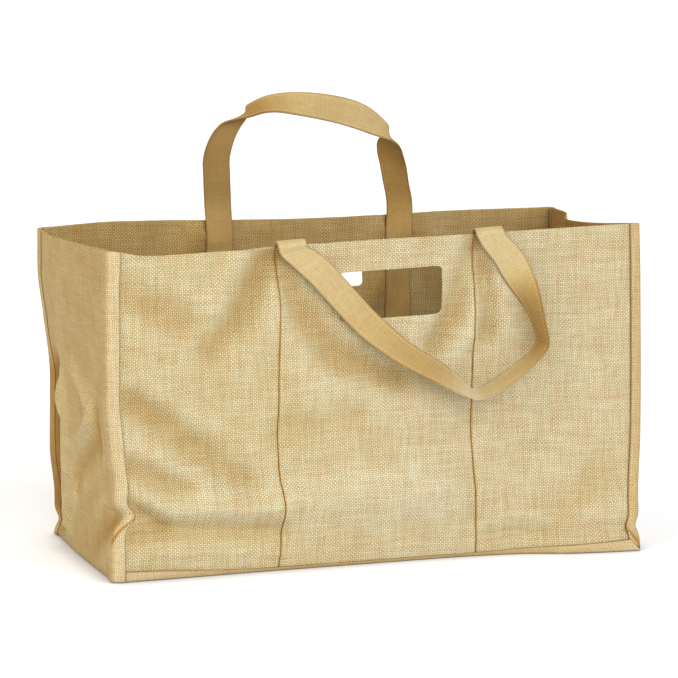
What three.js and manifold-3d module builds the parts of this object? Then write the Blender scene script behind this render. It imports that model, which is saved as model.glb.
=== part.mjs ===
// Open-topped jute firewood bag with two strap handles, standing on its base.
// Millimetres, +Z up, origin at the middle of the base underside.
// +X runs along the front, -Y faces the viewer.

import * as THREE from "three";
import { mergeVertices } from "three/addons/utils/BufferGeometryUtils.js";
import Module from "manifold-3d";

const wasm = await Module();
wasm.setup();

// Driving sizes
const BAG_WIDTH = 600;
const BAG_DEPTH = 285;
const WALL_HEIGHT = 357;
const CLOTH = 2;
const SEAM_GAP = 0.3;
const CORNER_GAP = 0.8;
const STRAP_WIDTH = 31;
const STRAP_THICKNESS = 2.4;
const STRAP_GAP = 0.6;
const STRAP_LOW_END = 16;
const STRAP_TOP_ROW = 0.97;
const WELT_WIDTH = 13;
const WELT_THICKNESS = 2.6;
const SLOT = { x: 6.5, z: 297, width: 119, height: 53, corner: 6, tilt: 1.9 };

// Lean of the four corner edges: how far each one stands out sideways and endways of the plain box
const CORNER_LEAN = {
  front_left: [
    { z: 0, side: 1.5, end: -6 },
    { z: 50, side: 2.5, end: -2 },
    { z: 100, side: 0, end: 1 },
    { z: 145, side: 4.5, end: 2 },
    { z: 200, side: 8.5, end: 2 },
    { z: 300, side: 7.5, end: 1 },
    { z: 354, side: 5.5, end: 0 },
  ],
  front_right: [
    { z: 0, side: -4, end: 12 },
    { z: 55, side: -5, end: 7 },
    { z: 134, side: -1, end: 2 },
    { z: 200, side: 0, end: -1 },
    { z: 305, side: -1, end: -3 },
    { z: 365, side: -3, end: -3 },
  ],
  back_left: [
    { z: 0, side: 1, end: 4 },
    { z: 47, side: 0, end: 2 },
    { z: 102, side: 5, end: 1 },
    { z: 185, side: 4, end: 0 },
    { z: 254, side: 11, end: 0 },
    { z: 309, side: 17, end: 0 },
    { z: 352, side: 16.5, end: 0 },
  ],
  back_right: [
    { z: 0, side: 1, end: 1 },
    { z: 60, side: -2, end: -1 },
    { z: 180, side: 3, end: 1 },
    { z: 300, side: 8, end: 0 },
    { z: 358, side: 7, end: 0 },
  ],
};

// Pinches where a corner edge buckles inwards above the floor
const PINCHES = [
  { corner: "front_left", z: 70, rise: 12, side: -12, end: -7, reach: 42 },
  { corner: "front_right", z: 27, rise: 9, side: -7, end: -3, reach: 30 },
  { corner: "back_left", z: 18, rise: 9, side: -5, end: -2, reach: 30 },
  { corner: "back_right", z: 40, rise: 12, side: -7, end: -4, reach: 34 },
];

// Rim heights, and how far rim and bottom edge stand out from the line between their corners
const RIMS = {
  front: [
    { u: 0, z: 354.5 },
    { u: 0.075, z: 348 },
    { u: 0.2, z: 350 },
    { u: 0.42, z: 355.5 },
    { u: 0.7, z: 359.5 },
    { u: 1, z: 365 },
  ],
  back: [
    { u: 0, z: 352 },
    { u: 0.15, z: 357 },
    { u: 0.5, z: 354 },
    { u: 0.85, z: 358 },
    { u: 1, z: 358 },
  ],
  left: [
    { u: 0, z: 354.5 },
    { u: 0.5, z: 351 },
    { u: 0.85, z: 349 },
    { u: 1, z: 352 },
  ],
  right: [
    { u: 0, z: 365 },
    { u: 0.4, z: 357 },
    { u: 1, z: 358 },
  ],
};
const BOWS = {
  front: [
    { u: 0, bottom: 0, rim: 0 },
    { u: 0.08, bottom: -3, rim: 6 },
    { u: 0.3, bottom: -14, rim: 3 },
    { u: 0.5, bottom: -21, rim: 2 },
    { u: 0.67, bottom: -26, rim: 0 },
    { u: 0.77, bottom: -23, rim: -2 },
    { u: 0.88, bottom: -6, rim: -2 },
    { u: 1, bottom: 0, rim: 0 },
  ],
  back: [
    { u: 0, bottom: 0, rim: 0 },
    { u: 0.3, bottom: -6, rim: -5 },
    { u: 0.7, bottom: -8, rim: -6 },
    { u: 1, bottom: 0, rim: 0 },
  ],
  left: [
    { u: 0, bottom: 0, rim: 0 },
    { u: 0.5, bottom: 3, rim: 4 },
    { u: 1, bottom: 0, rim: 0 },
  ],
  right: [
    { u: 0, bottom: 0, rim: 0 },
    { u: 0.3, bottom: -3, rim: -20 },
    { u: 0.6, bottom: -2, rim: -16 },
    { u: 1, bottom: 0, rim: 0 },
  ],
};

// Folds: a crease from one place to another, bowed sideways, with its width, its height and how sharp it is
const FOLDS = {
  front: [
    { a: -150, az: 338, b: -206, bz: 236, bow: 6, width: 17, height: -9, sharp: 1.8 },
    { a: -292, az: 298, b: -216, bz: 258, bow: 4, width: 16, height: -6, sharp: 1.8 },
    { a: -286, az: 186, b: -150, bz: 78, bow: 6, width: 14, height: -9, sharp: 1.7 },
    { a: -286, az: 120, b: -222, bz: 88, bow: -5, width: 11, height: -7, sharp: 1.7 },
    { a: -282, az: 80, b: -247, bz: 56, bow: 2, width: 8, height: -9, sharp: 1.5 },
    { a: -272, az: 42, b: -122, bz: 38, bow: 0, width: 12, height: -8, sharp: 2 },
    { a: -200, az: 76, b: 60, bz: 74, bow: 0, width: 24, height: 10, sharp: 2 },
    { a: -112, az: 336, b: 20, bz: 205, bow: -28, width: 17, height: -7, sharp: 2 },
    { a: 97, az: 332, b: 58, bz: 238, bow: -6, width: 14, height: -6, sharp: 2 },
    { a: 110, az: 338, b: 126, bz: 250, bow: 8, width: 12, height: -5, sharp: 2 },
    { a: -112, az: 160, b: -40, bz: 170, bow: 0, width: 16, height: -4, sharp: 2 },
    { a: 130, az: 26, b: 280, bz: 30, bow: 0, width: 10, height: -5, sharp: 2 },
    { a: 210, az: 60, b: 282, bz: 110, bow: 0, width: 22, height: -5, sharp: 2 },
  ],
  back: [
    { a: -130, az: 334, b: -190, bz: 246, bow: 6, width: 18, height: -6, sharp: 2 },
    { a: -105, az: 334, b: -30, bz: 210, bow: -20, width: 18, height: -6, sharp: 2 },
    { a: 100, az: 334, b: 40, bz: 220, bow: 16, width: 18, height: -6, sharp: 2 },
    { a: 128, az: 334, b: 196, bz: 236, bow: 6, width: 18, height: -6, sharp: 2 },
    { a: 284, az: 190, b: 150, bz: 84, bow: 6, width: 17, height: -7, sharp: 2 },
    { a: -270, az: 50, b: 240, bz: 44, bow: 0, width: 16, height: -6, sharp: 2 },
  ],
  left: [
    { a: 108, az: 186, b: 112, bz: 46, bow: -4, width: 20, height: -28, sharp: 2 },
    { a: 128, az: 178, b: 84, bz: 138, bow: 3, width: 9, height: 5, sharp: 1.4 },
    { a: 18, az: 194, b: -36, bz: 166, bow: 4, width: 12, height: 6, sharp: 1.4 },
    { a: -60, az: 152, b: -84, bz: 126, bow: 2, width: 13, height: 5, sharp: 1.4 },
    { a: -30, az: 150, b: 34, bz: 119, bow: 0, width: 12, height: 7, sharp: 1.4 },
    { a: 56, az: 106, b: 82, bz: 80, bow: 0, width: 11, height: 9, sharp: 1.4 },
    { a: 80, az: 68, b: 60, bz: 57, bow: 0, width: 11, height: 7, sharp: 1.4 },
    { a: 58, az: 44, b: 88, bz: 18, bow: 0, width: 11, height: 7, sharp: 1.4 },
    { a: -128, az: 60, b: -60, bz: 24, bow: 3, width: 13, height: -6, sharp: 1.5 },
  ],
  right: [
    { a: 0, az: 350, b: 6, bz: 60, bow: 10, width: 40, height: -16, sharp: 2 },
    { a: -90, az: 190, b: 0, bz: 96, bow: 6, width: 18, height: 7, sharp: 1.5 },
    { a: 100, az: 210, b: 10, bz: 110, bow: -6, width: 18, height: 6, sharp: 1.5 },
  ],
};

// Upright seams of the front and back walls, each at the left edge of a strap
const SEAMS = {
  front: {
    left: [
      { z: 0, x: -117 },
      { z: 60, x: -113 },
      { z: 123, x: -120 },
      { z: 258, x: -119 },
      { z: 350, x: -123 },
    ],
    right: [
      { z: 0, x: 112 },
      { z: 58, x: 111 },
      { z: 150, x: 103 },
      { z: 264, x: 104 },
      { z: 350, x: 102 },
    ],
  },
  back: {
    left: [
      { z: 0, x: -121 },
      { z: 350, x: -122 },
    ],
    right: [
      { z: 0, x: 96 },
      { z: 350, x: 95 },
    ],
  },
};

// Free loops of the handles: middle line, turn of the width in the upright plane and its lift out of it
const FRONT_LOOP = [
  { x: -104, off: 5.5, z: 347, turn: 14, lift: 0 },
  { x: -94, off: 5.5, z: 339, turn: 25, lift: 4 },
  { x: -77, off: 6, z: 324, turn: 36, lift: 8 },
  { x: -46, off: 6, z: 291, turn: 43, lift: 10 },
  { x: -20, off: 7, z: 264, turn: 45, lift: 14 },
  { x: 20, off: 10, z: 232, turn: 41, lift: 30 },
  { x: 56, off: 14, z: 211, turn: 38, lift: 38 },
  { x: 75, off: 16.5, z: 199, turn: 38, lift: 50 },
  { x: 90, off: 18, z: 189, turn: 36, lift: 66 },
  { x: 101, off: 18.5, z: 184, turn: 40, lift: 74 },
  { x: 113, off: 18.5, z: 186, turn: 60, lift: 76 },
  { x: 131, off: 18.5, z: 195, turn: 68, lift: 72 },
  { x: 155, off: 18.5, z: 212, turn: 64, lift: 73 },
  { x: 172, off: 18.5, z: 227, turn: 66, lift: 80 },
  { x: 178, off: 18.5, z: 239, turn: 120, lift: 84 },
  { x: 176, off: 18.5, z: 250, turn: 180, lift: 85 },
  { x: 172, off: 18, z: 263, turn: 205, lift: 81 },
  { x: 166, off: 16, z: 281, turn: 209, lift: 69 },
  { x: 158, off: 12, z: 299, turn: 209, lift: 46 },
  { x: 149, off: 7.5, z: 317, turn: 209, lift: 14 },
  { x: 138, off: 6, z: 334, turn: 206, lift: 3 },
  { x: 124, off: 5.5, z: 350, turn: 194, lift: 0 },
];
const REAR_LOOP = [
  { x: -109.5, off: -6, z: 372, turn: 0, lift: 0 },
  { x: -113.5, off: -16, z: 407, turn: 1, lift: 0 },
  { x: -115.5, off: -22, z: 425.5, turn: 2, lift: 1 },
  { x: -113.5, off: -27.5, z: 441, turn: 2, lift: 3 },
  { x: -110, off: -31, z: 452, turn: 3, lift: 6 },
  { x: -105, off: -34, z: 461.5, turn: 4, lift: 10 },
  { x: -97.5, off: -36, z: 470, turn: 8, lift: 16 },
  { x: -88.5, off: -37.5, z: 475.5, turn: 18, lift: 42 },
  { x: -82, off: -38, z: 479.5, turn: 63, lift: 71 },
  { x: -70.5, off: -40, z: 484.5, turn: 104, lift: 69 },
  { x: -54.5, off: -41, z: 488.5, turn: 97, lift: 57 },
  { x: -23.5, off: -41, z: 488, turn: 88, lift: 36 },
  { x: 23.5, off: -38.5, z: 480.5, turn: 75, lift: 14 },
  { x: 52.5, off: -36, z: 471.5, turn: 66, lift: 18 },
  { x: 73, off: -32, z: 461, turn: 46, lift: 36 },
  { x: 87, off: -29, z: 452, turn: 40, lift: 57 },
  { x: 91, off: -27.5, z: 446, turn: 95, lift: 76 },
  { x: 91, off: -25, z: 439, turn: 156, lift: 50 },
  { x: 93, off: -22, z: 428.5, turn: 168, lift: 32 },
  { x: 98, off: -17.5, z: 414, turn: 171, lift: 14 },
  { x: 103, off: -12, z: 395.5, turn: 174, lift: 3 },
  { x: 110, off: -5.5, z: 370, turn: 179, lift: 0 },
];

// Fold of a strap over the rim: share of the way over, height above the rim and turn of the width
const RIM_FOLD = [
  { over: -0.2, up: 0.5, turn: 0 },
  { over: 0.1, up: 3, turn: 1 },
  { over: 0.5, up: 4.4, turn: 3 },
  { over: 1.1, up: 3.8, turn: 5 },
  { over: 1.7, up: 0.5, turn: 7 },
];

// Grid rows of the walls as shares of the rim height, closer together near the floor
const WELT_ROW = WELT_WIDTH / WALL_HEIGHT;
const FINE_ROWS = [0, WELT_ROW, 0.07, 0.1, 0.13, 0.16, 0.19, 0.22, 0.26, 0.3, 0.35, 0.4, 0.45, 0.5,
  0.56, 0.62, 0.68, 0.74, 0.8, 0.86, 0.91, 0.955, 1];
const PLAIN_ROWS = [0, WELT_ROW, 0.08, 0.13, 0.18, 0.25, 0.34, 0.43, 0.52, 0.62, 0.72, 0.82, 0.9, 0.955, 1];

// Grid columns of the panels, steps round the base and steps between two rows of a loop table
const FRONT_COLUMNS = { outer: 10, centre: 12 };
const BACK_COLUMNS = { outer: 7, centre: 8 };
const SIDE_COLUMNS = { left: 16, right: 12 };
const BASE_STEPS = { across: 40, deep: 18 };
const LOOP_STEPS = 2;
const CORNER_STEPS = 4;
const MERGE_DISTANCE = 1e-4;

const mix = (a, b, t) => a + (b - a) * t;
const radians = (degrees) => degrees * Math.PI / 180;
const bell = (distance, reach, sharp = 2) => Math.exp(-((Math.abs(distance) / reach) ** sharp));

// Smooth curve through a table column: cubic between rows, and flat where the column turns back
function curve(rows, key, column) {
  const at = rows.map((row) => row[key]);
  const value = rows.map((row) => row[column]);
  const steps = at.slice(1).map((next, i) => (value[i + 1] - value[i]) / (next - at[i]));
  const slope = at.map((_, i) => {
    const before = steps[Math.max(i - 1, 0)];
    const after = steps[Math.min(i, steps.length - 1)];
    return before * after > 0 ? 2 * before * after / (before + after) : 0;
  });
  return (t) => {
    if (t <= at[0]) return value[0];
    if (t >= at[at.length - 1]) return value[value.length - 1];
    const i = at.findIndex((next) => next > t) - 1;
    const span = at[i + 1] - at[i];
    const s = (t - at[i]) / span;
    const low = value[i] + s * s * (3 - 2 * s) * (value[i + 1] - value[i]);
    return low + span * s * (1 - s) * (slope[i] * (1 - s) - slope[i + 1] * s);
  };
}

// A corner edge: its lean by height, and its pinches with their reach along the walls
function cornerEdge(name, sideSign, endSign) {
  const side = curve(CORNER_LEAN[name], "z", "side");
  const end = curve(CORNER_LEAN[name], "z", "end");
  const pinches = PINCHES.filter((pinch) => pinch.corner === name);
  return {
    x: (z) => sideSign * (BAG_WIDTH / 2 + side(z)),
    y: (z) => endSign * (BAG_DEPTH / 2 + end(z)),
    pinch: (z, away) => pinches.reduce((sum, pinch) => {
      const share = bell(z - pinch.z, pinch.rise) * bell(away, pinch.reach);
      return { x: sum.x + sideSign * pinch.side * share, y: sum.y + endSign * pinch.end * share };
    }, { x: 0, y: 0 }),
  };
}

const CORNERS = {
  front_left: cornerEdge("front_left", -1, -1),
  front_right: cornerEdge("front_right", 1, -1),
  back_left: cornerEdge("back_left", -1, 1),
  back_right: cornerEdge("back_right", 1, 1),
};

// Height of one fold at a place on a wall
function foldHeight(fold, along, z) {
  const dx = fold.b - fold.a;
  const dz = fold.bz - fold.az;
  const length = Math.hypot(dx, dz);
  const t = ((along - fold.a) * dx + (z - fold.az) * dz) / (length * length);
  const inside = Math.min(Math.max(t, 0), 1);
  const across = ((z - fold.az) * dx - (along - fold.a) * dz) / length - fold.bow * 4 * inside * (1 - inside);
  return fold.height * bell(across, fold.width, fold.sharp) * bell((t - inside) * length, fold.width);
}

// A wall between two corner edges; a point is found by its share of the width, its height and its inset
function makeWall(name, from, to, outward) {
  const rim = curve(RIMS[name], "u", "z");
  const bottomBow = curve(BOWS[name], "u", "bottom");
  const rimBow = curve(BOWS[name], "u", "rim");
  const alongX = outward.x === 0;
  const length = alongX ? BAG_WIDTH : BAG_DEPTH;
  const edgeFade = 24;
  const floorFade = 14;
  function point(u, z, inset) {
    const pinchFrom = from.pinch(z, u * length);
    const pinchTo = to.pinch(z, (1 - u) * length);
    const x = mix(from.x(z), to.x(z), u) + pinchFrom.x + pinchTo.x;
    const y = mix(from.y(z), to.y(z), u) + pinchFrom.y + pinchTo.y;
    const along = alongX ? x : y;
    const edge = Math.min(u, 1 - u) * length;
    const fade = (1 - bell(edge, edgeFade)) * (1 - bell(z, floorFade));
    const folds = FOLDS[name].reduce((sum, fold) => sum + foldHeight(fold, along, z), 0) * fade;
    const bow = mix(bottomBow(u), rimBow(u), z / rim(u));
    const out = folds + bow - inset;
    return new THREE.Vector3(x + outward.x * out, y + outward.y * out, z);
  }
  // Share of the width at which a wall point has the given x
  function share(x, z) {
    return (x - from.x(z)) / (to.x(z) - from.x(z));
  }
  return { rim, point, share, length };
}

const WALLS = {
  front: makeWall("front", CORNERS.front_left, CORNERS.front_right, { x: 0, y: -1 }),
  back: makeWall("back", CORNERS.back_left, CORNERS.back_right, { x: 0, y: 1 }),
  left: makeWall("left", CORNERS.front_left, CORNERS.back_left, { x: -1, y: 0 }),
  right: makeWall("right", CORNERS.front_right, CORNERS.back_right, { x: 1, y: 0 }),
};

// Closed solid from two facing grids of points, first index across and second up
function gridSolid(outer, inner) {
  const across = outer.length;
  const up = outer[0].length;
  const positions = [];
  for (const grid of [outer, inner]) {
    for (const column of grid) {
      for (const point of column) positions.push(point.x, point.y, point.z);
    }
  }
  const id = (side, i, j) => side * across * up + i * up + j;
  const triangles = [];
  const quad = (a, b, c, d) => triangles.push(a, b, c, a, c, d);
  for (let i = 0; i + 1 < across; i++) {
    for (let j = 0; j + 1 < up; j++) {
      quad(id(0, i, j), id(0, i + 1, j), id(0, i + 1, j + 1), id(0, i, j + 1));
      quad(id(1, i, j), id(1, i, j + 1), id(1, i + 1, j + 1), id(1, i + 1, j));
    }
    quad(id(1, i, 0), id(1, i + 1, 0), id(0, i + 1, 0), id(0, i, 0));
    quad(id(0, i, up - 1), id(0, i + 1, up - 1), id(1, i + 1, up - 1), id(1, i, up - 1));
  }
  for (let j = 0; j + 1 < up; j++) {
    quad(id(0, 0, j), id(0, 0, j + 1), id(1, 0, j + 1), id(1, 0, j));
    quad(id(1, across - 1, j), id(1, across - 1, j + 1), id(0, across - 1, j + 1), id(0, across - 1, j));
  }
  const geometry = new THREE.BufferGeometry();
  geometry.setAttribute("position", new THREE.Float32BufferAttribute(positions, 3));
  geometry.setIndex(triangles);
  return facingOut(geometry);
}

// Turn a closed mesh so that its enclosed volume is positive
function facingOut(geometry) {
  const p = geometry.getAttribute("position");
  const index = geometry.getIndex().array;
  const corner = [new THREE.Vector3(), new THREE.Vector3(), new THREE.Vector3()];
  let volume = 0;
  for (let i = 0; i < index.length; i += 3) {
    corner.forEach((vertex, k) => vertex.fromBufferAttribute(p, index[i + k]));
    volume += corner[0].dot(corner[1].cross(corner[2]));
  }
  if (volume < 0) {
    for (let i = 0; i < index.length; i += 3) [index[i], index[i + 1]] = [index[i + 1], index[i]];
  }
  return geometry;
}

// Piece of a wall between two side lines, with columns spaced by the given shares
function wallPiece(wall, columns, rows, outset, inset) {
  const face = (depth) => columns.map((column) => rows.map((row) => {
    const guess = row * wall.rim(column(0));
    const u = column(guess);
    return wall.point(u, row * wall.rim(u), depth);
  }));
  return gridSolid(face(outset), face(inset));
}

// Columns between two side lines, after a first and a last strip of fixed width
function columnsBetween(wall, low, high, count, firstStrip, lastStrip) {
  const shares = (z) => {
    const start = low(z) + firstStrip / wall.length;
    const finish = high(z) - lastStrip / wall.length;
    return { start, finish };
  };
  const middle = Array.from({ length: count + 1 }, (_, i) => (z) => {
    const { start, finish } = shares(z);
    return mix(start, finish, i / count);
  });
  const columns = [...middle];
  if (firstStrip > 0) columns.unshift(low);
  if (lastStrip > 0) columns.push(high);
  return columns;
}

function seamLine(wallName, side, offset) {
  const x = curve(SEAMS[wallName][side], "z", "x");
  return (z) => WALLS[wallName].share(x(z) + offset, z);
}

const atShare = (u) => () => u;

function toManifold(geometry) {
  const merged = mergeVertices(geometry, MERGE_DISTANCE);
  return new wasm.Manifold(new wasm.Mesh({
    numProp: 3,
    vertProperties: new Float32Array(merged.getAttribute("position").array),
    triVerts: new Uint32Array(merged.getIndex().array),
  }));
}

function fromManifold(solid) {
  const mesh = solid.getMesh();
  const geometry = new THREE.BufferGeometry();
  geometry.setAttribute("position", new THREE.Float32BufferAttribute(mesh.vertProperties, 3));
  geometry.setIndex(new THREE.Uint32BufferAttribute(mesh.triVerts, 1));
  return geometry;
}

// Rounded hand slot cut right through a wall
function cutSlot(geometry, yLow, yHigh) {
  const { x, z, width, height, corner, tilt } = SLOT;
  const side = width / 2 - corner;
  const end = height / 2 - corner;
  const quarter = Math.PI / 2;
  const shape = new THREE.Shape();
  shape.absarc(side, -end, corner, -quarter, 0);
  shape.absarc(side, end, corner, 0, quarter);
  shape.absarc(-side, end, corner, quarter, 2 * quarter);
  shape.absarc(-side, -end, corner, 2 * quarter, 3 * quarter);
  shape.closePath();
  const cutter = new THREE.ExtrudeGeometry(shape, {
    depth: yHigh - yLow,
    bevelEnabled: false,
    curveSegments: CORNER_STEPS,
  });
  cutter.rotateZ(radians(tilt));
  cutter.rotateX(Math.PI / 2);
  cutter.translate(x, yHigh, z);
  cutter.deleteAttribute("normal");
  cutter.deleteAttribute("uv");
  return fromManifold(toManifold(geometry).subtract(toManifold(mergeVertices(cutter, MERGE_DISTANCE))));
}

// Columns of the three panels of a long wall, split at its two seams
function panelColumns(name, counts) {
  const wall = WALLS[name];
  const half = SEAM_GAP / 2;
  const seam = (side, offset) => seamLine(name, side, offset);
  const { outer, centre } = counts;
  return {
    left_panel: columnsBetween(wall, atShare(0), seam("left", -half), outer, WELT_WIDTH, 0),
    centre_panel: columnsBetween(wall, seam("left", half), seam("right", -half), centre, STRAP_WIDTH, 0),
    right_panel: columnsBetween(wall, seam("right", half), atShare(1), outer, STRAP_WIDTH, WELT_WIDTH),
  };
}

// Three panels of a long wall, with the hand slot in the middle one
function longWallPanels(name, rows, counts) {
  return Object.entries(panelColumns(name, counts)).map(([part, columns]) => {
    let geometry = wallPiece(WALLS[name], columns, rows, 0, CLOTH);
    if (part === "centre_panel") {
      const middle = name === "front" ? -BAG_DEPTH / 2 : BAG_DEPTH / 2;
      geometry = cutSlot(geometry, middle - BAG_DEPTH / 6, middle + BAG_DEPTH / 6);
    }
    return [`${name}_${part}`, geometry];
  });
}

// Welts: raised strips over the side and bottom edges of a long wall
function welts(name, rows, counts) {
  const wall = WALLS[name];
  const strip = WELT_WIDTH / wall.length;
  const gap = SEAM_GAP / wall.length;
  const near = SEAM_GAP;
  const far = SEAM_GAP + WELT_THICKNESS;
  const start = strip + gap;
  const between = Object.values(panelColumns(name, counts)).flat()
    .filter((column) => column(0) > start && column(0) < 1 - start);
  const bottom = [atShare(start), ...between, atShare(1 - start)];
  return [
    [`${name}_left_welt`, wallPiece(wall, [atShare(0), atShare(strip)], rows, -far, -near)],
    [`${name}_right_welt`, wallPiece(wall, [atShare(1 - strip), atShare(1)], rows, -far, -near)],
    [`${name}_bottom_welt`, wallPiece(wall, bottom, [0, WELT_ROW], -far, -near)],
  ];
}

// Side panel between the long walls, clear of their inner faces
function sidePanel(name, rows) {
  const wall = WALLS[name];
  const margin = (CLOTH + CORNER_GAP) / wall.length;
  const columns = columnsBetween(wall, atShare(margin), atShare(1 - margin), SIDE_COLUMNS[name], 0, 0);
  return [`${name}_side_panel`, wallPiece(wall, columns, rows, 0, CLOTH)];
}

// Base panel: a flat plate inside the feet of the four walls
function basePanel() {
  const inset = CLOTH + CORNER_GAP;
  const foot = (wall, count, way) => Array.from({ length: count + 1 }, (_, i) => {
    const corner = 2 * inset / wall.length;
    const u = mix(corner, 1 - corner, way > 0 ? i / count : 1 - i / count);
    const { x, y } = wall.point(u, 0, inset);
    return new THREE.Vector2(x, y);
  });
  const outline = new THREE.Shape([
    ...foot(WALLS.front, BASE_STEPS.across, 1),
    ...foot(WALLS.right, BASE_STEPS.deep, 1),
    ...foot(WALLS.back, BASE_STEPS.across, -1),
    ...foot(WALLS.left, BASE_STEPS.deep, -1),
  ]);
  const plate = new THREE.ExtrudeGeometry(outline, { depth: CLOTH, bevelEnabled: false });
  plate.deleteAttribute("normal");
  plate.deleteAttribute("uv");
  return ["base_panel", mergeVertices(plate, MERGE_DISTANCE)];
}

// Width direction of a strap from its turn in the upright plane and its lift towards the back
function widthDirection(turn, lift) {
  const flat = Math.cos(radians(lift));
  return new THREE.Vector3(
    Math.cos(radians(turn)) * flat,
    Math.sin(radians(lift)),
    Math.sin(radians(turn)) * flat,
  );
}

// Sewn run of a strap on the inside of a wall, as stations from low to high
function sewnRun(wallName, side, rows) {
  const wall = WALLS[wallName];
  const inset = CLOTH + STRAP_GAP + STRAP_THICKNESS / 2;
  const edge = (offset, row) => {
    const line = seamLine(wallName, side, offset);
    const u = line(row * wall.rim(0.5));
    return wall.point(u, Math.max(row * wall.rim(u), STRAP_LOW_END), inset);
  };
  return rows.map((row) => ({
    a: edge(SEAM_GAP, row),
    b: edge(STRAP_WIDTH + SEAM_GAP, row),
  })).map(({ a, b }) => ({
    middle: a.clone().add(b).multiplyScalar(0.5),
    width: b.clone().sub(a).normalize(),
  }));
}

// Free loop of a strap as stations along a smooth line through its table
function freeLoop(wallName, table, offSign) {
  const wall = WALLS[wallName];
  const rows = table.map((row, i) => {
    const z = Math.min(row.z, wall.rim(0.5));
    const foot = wall.point(wall.share(row.x, z), z, 0);
    return { ...row, i, y: foot.y + offSign * row.off };
  });
  const line = new THREE.CatmullRomCurve3(
    rows.map((row) => new THREE.Vector3(row.x, row.y, row.z)), false, "centripetal");
  const turn = curve(rows, "i", "turn");
  const lift = curve(rows, "i", "lift");
  const last = rows.length - 1;
  return Array.from({ length: last * LOOP_STEPS + 1 }, (_, k) => {
    const i = k / LOOP_STEPS;
    return { middle: line.getPoint(i / last), width: widthDirection(turn(i), lift(i)) };
  });
}

// Fold of a strap over the rim of the front wall, as stations from the inside to the outside
function rimFold(side, startTurn) {
  const wall = WALLS.front;
  const u = seamLine("front", side, STRAP_WIDTH / 2)(wall.rim(0.5));
  const inside = CLOTH + STRAP_GAP + STRAP_THICKNESS / 2;
  return RIM_FOLD.map((row) => {
    const middle = wall.point(u, wall.rim(u), mix(inside, CLOTH - inside, row.over));
    middle.z += row.up;
    return { middle, width: widthDirection(startTurn + row.turn, 0) };
  });
}

// Flat strap through its stations: four corners at each, closed at both ends
function strapSolid(stations) {
  const along = new THREE.Vector3();
  const side = (edgeSign, faceSign) => stations.map((station, i) => {
    const before = stations[Math.max(i - 1, 0)].middle;
    const after = stations[Math.min(i + 1, stations.length - 1)].middle;
    along.subVectors(after, before).normalize();
    const face = new THREE.Vector3().crossVectors(along, station.width).normalize();
    return station.middle.clone()
      .addScaledVector(station.width, edgeSign * STRAP_WIDTH / 2)
      .addScaledVector(face, faceSign * STRAP_THICKNESS / 2);
  });
  return gridSolid([side(-1, 1), side(1, 1)], [side(-1, -1), side(1, -1)]);
}

const strapRows = (rows) => rows.filter((row) => row > WELT_ROW && row < STRAP_TOP_ROW);
const flipped = (station) => ({ middle: station.middle, width: station.width.clone().negate() });

function frontHandle() {
  const rows = strapRows(FINE_ROWS);
  return ["front_handle", strapSolid([
    ...sewnRun("front", "left", rows),
    ...rimFold("left", 0),
    ...freeLoop("front", FRONT_LOOP, -1),
    ...rimFold("right", 180).reverse(),
    ...sewnRun("front", "right", rows).reverse().map(flipped),
  ])];
}

function rearHandle() {
  const rows = strapRows(PLAIN_ROWS);
  return ["rear_handle", strapSolid([
    ...sewnRun("back", "left", rows),
    ...freeLoop("back", REAR_LOOP, 1),
    ...sewnRun("back", "right", rows).reverse().map(flipped),
  ])];
}

const JUTE = { color: 0xd7c08f, roughness: 0.95, metalness: 0 };
const STRAP_JUTE = { color: 0xd3b983, roughness: 0.93, metalness: 0 };
const WELT_JUTE = { color: 0xd9c08c, roughness: 0.95, metalness: 0 };

const bag = new THREE.Group();

function place(pieces, finish) {
  for (const [name, geometry] of pieces) {
    const mesh = new THREE.Mesh(geometry, new THREE.MeshStandardMaterial(finish));
    mesh.name = name;
    bag.add(mesh);
  }
}

place(longWallPanels("front", FINE_ROWS, FRONT_COLUMNS), JUTE);
place(longWallPanels("back", PLAIN_ROWS, BACK_COLUMNS), JUTE);
place([sidePanel("left", FINE_ROWS), sidePanel("right", PLAIN_ROWS)], JUTE);
place([basePanel()], JUTE);
place(welts("front", FINE_ROWS, FRONT_COLUMNS), WELT_JUTE);
place(welts("back", PLAIN_ROWS, BACK_COLUMNS), WELT_JUTE);
place([frontHandle(), rearHandle()], STRAP_JUTE);

export default bag;
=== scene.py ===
"""Open-topped jute firewood bag with two strap handles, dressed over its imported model."""

from types import SimpleNamespace

import bpy
import numpy as np
from bpy.props import FloatProperty, FloatVectorProperty, PointerProperty
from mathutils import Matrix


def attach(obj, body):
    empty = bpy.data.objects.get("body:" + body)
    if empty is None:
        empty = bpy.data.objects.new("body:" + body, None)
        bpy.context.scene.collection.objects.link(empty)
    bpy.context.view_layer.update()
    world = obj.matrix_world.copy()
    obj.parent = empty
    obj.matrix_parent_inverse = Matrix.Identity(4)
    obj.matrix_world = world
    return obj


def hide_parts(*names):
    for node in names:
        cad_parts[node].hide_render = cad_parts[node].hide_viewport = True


bl_info = {
    "name": "Firewood Bag",
    "version": (1, 0, 0),
    "blender": (4, 5, 0),
    "location": "3D View > Sidebar > Firewood Bag",
    "description": "Builds a jute firewood bag: walls, welts, base, strap handles and stitching",
    "category": "Object",
}

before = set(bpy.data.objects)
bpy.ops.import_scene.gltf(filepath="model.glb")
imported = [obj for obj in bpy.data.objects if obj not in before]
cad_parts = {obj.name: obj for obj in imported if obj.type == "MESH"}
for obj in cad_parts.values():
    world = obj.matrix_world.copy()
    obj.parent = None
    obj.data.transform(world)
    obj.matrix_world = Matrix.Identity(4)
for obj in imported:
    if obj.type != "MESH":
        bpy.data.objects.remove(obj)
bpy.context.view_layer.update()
MM = 0.001


def table(columns, *rows):
    """A short table as named columns of numbers."""
    return dict(zip(columns.split(), np.array(rows, float).T))


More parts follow.
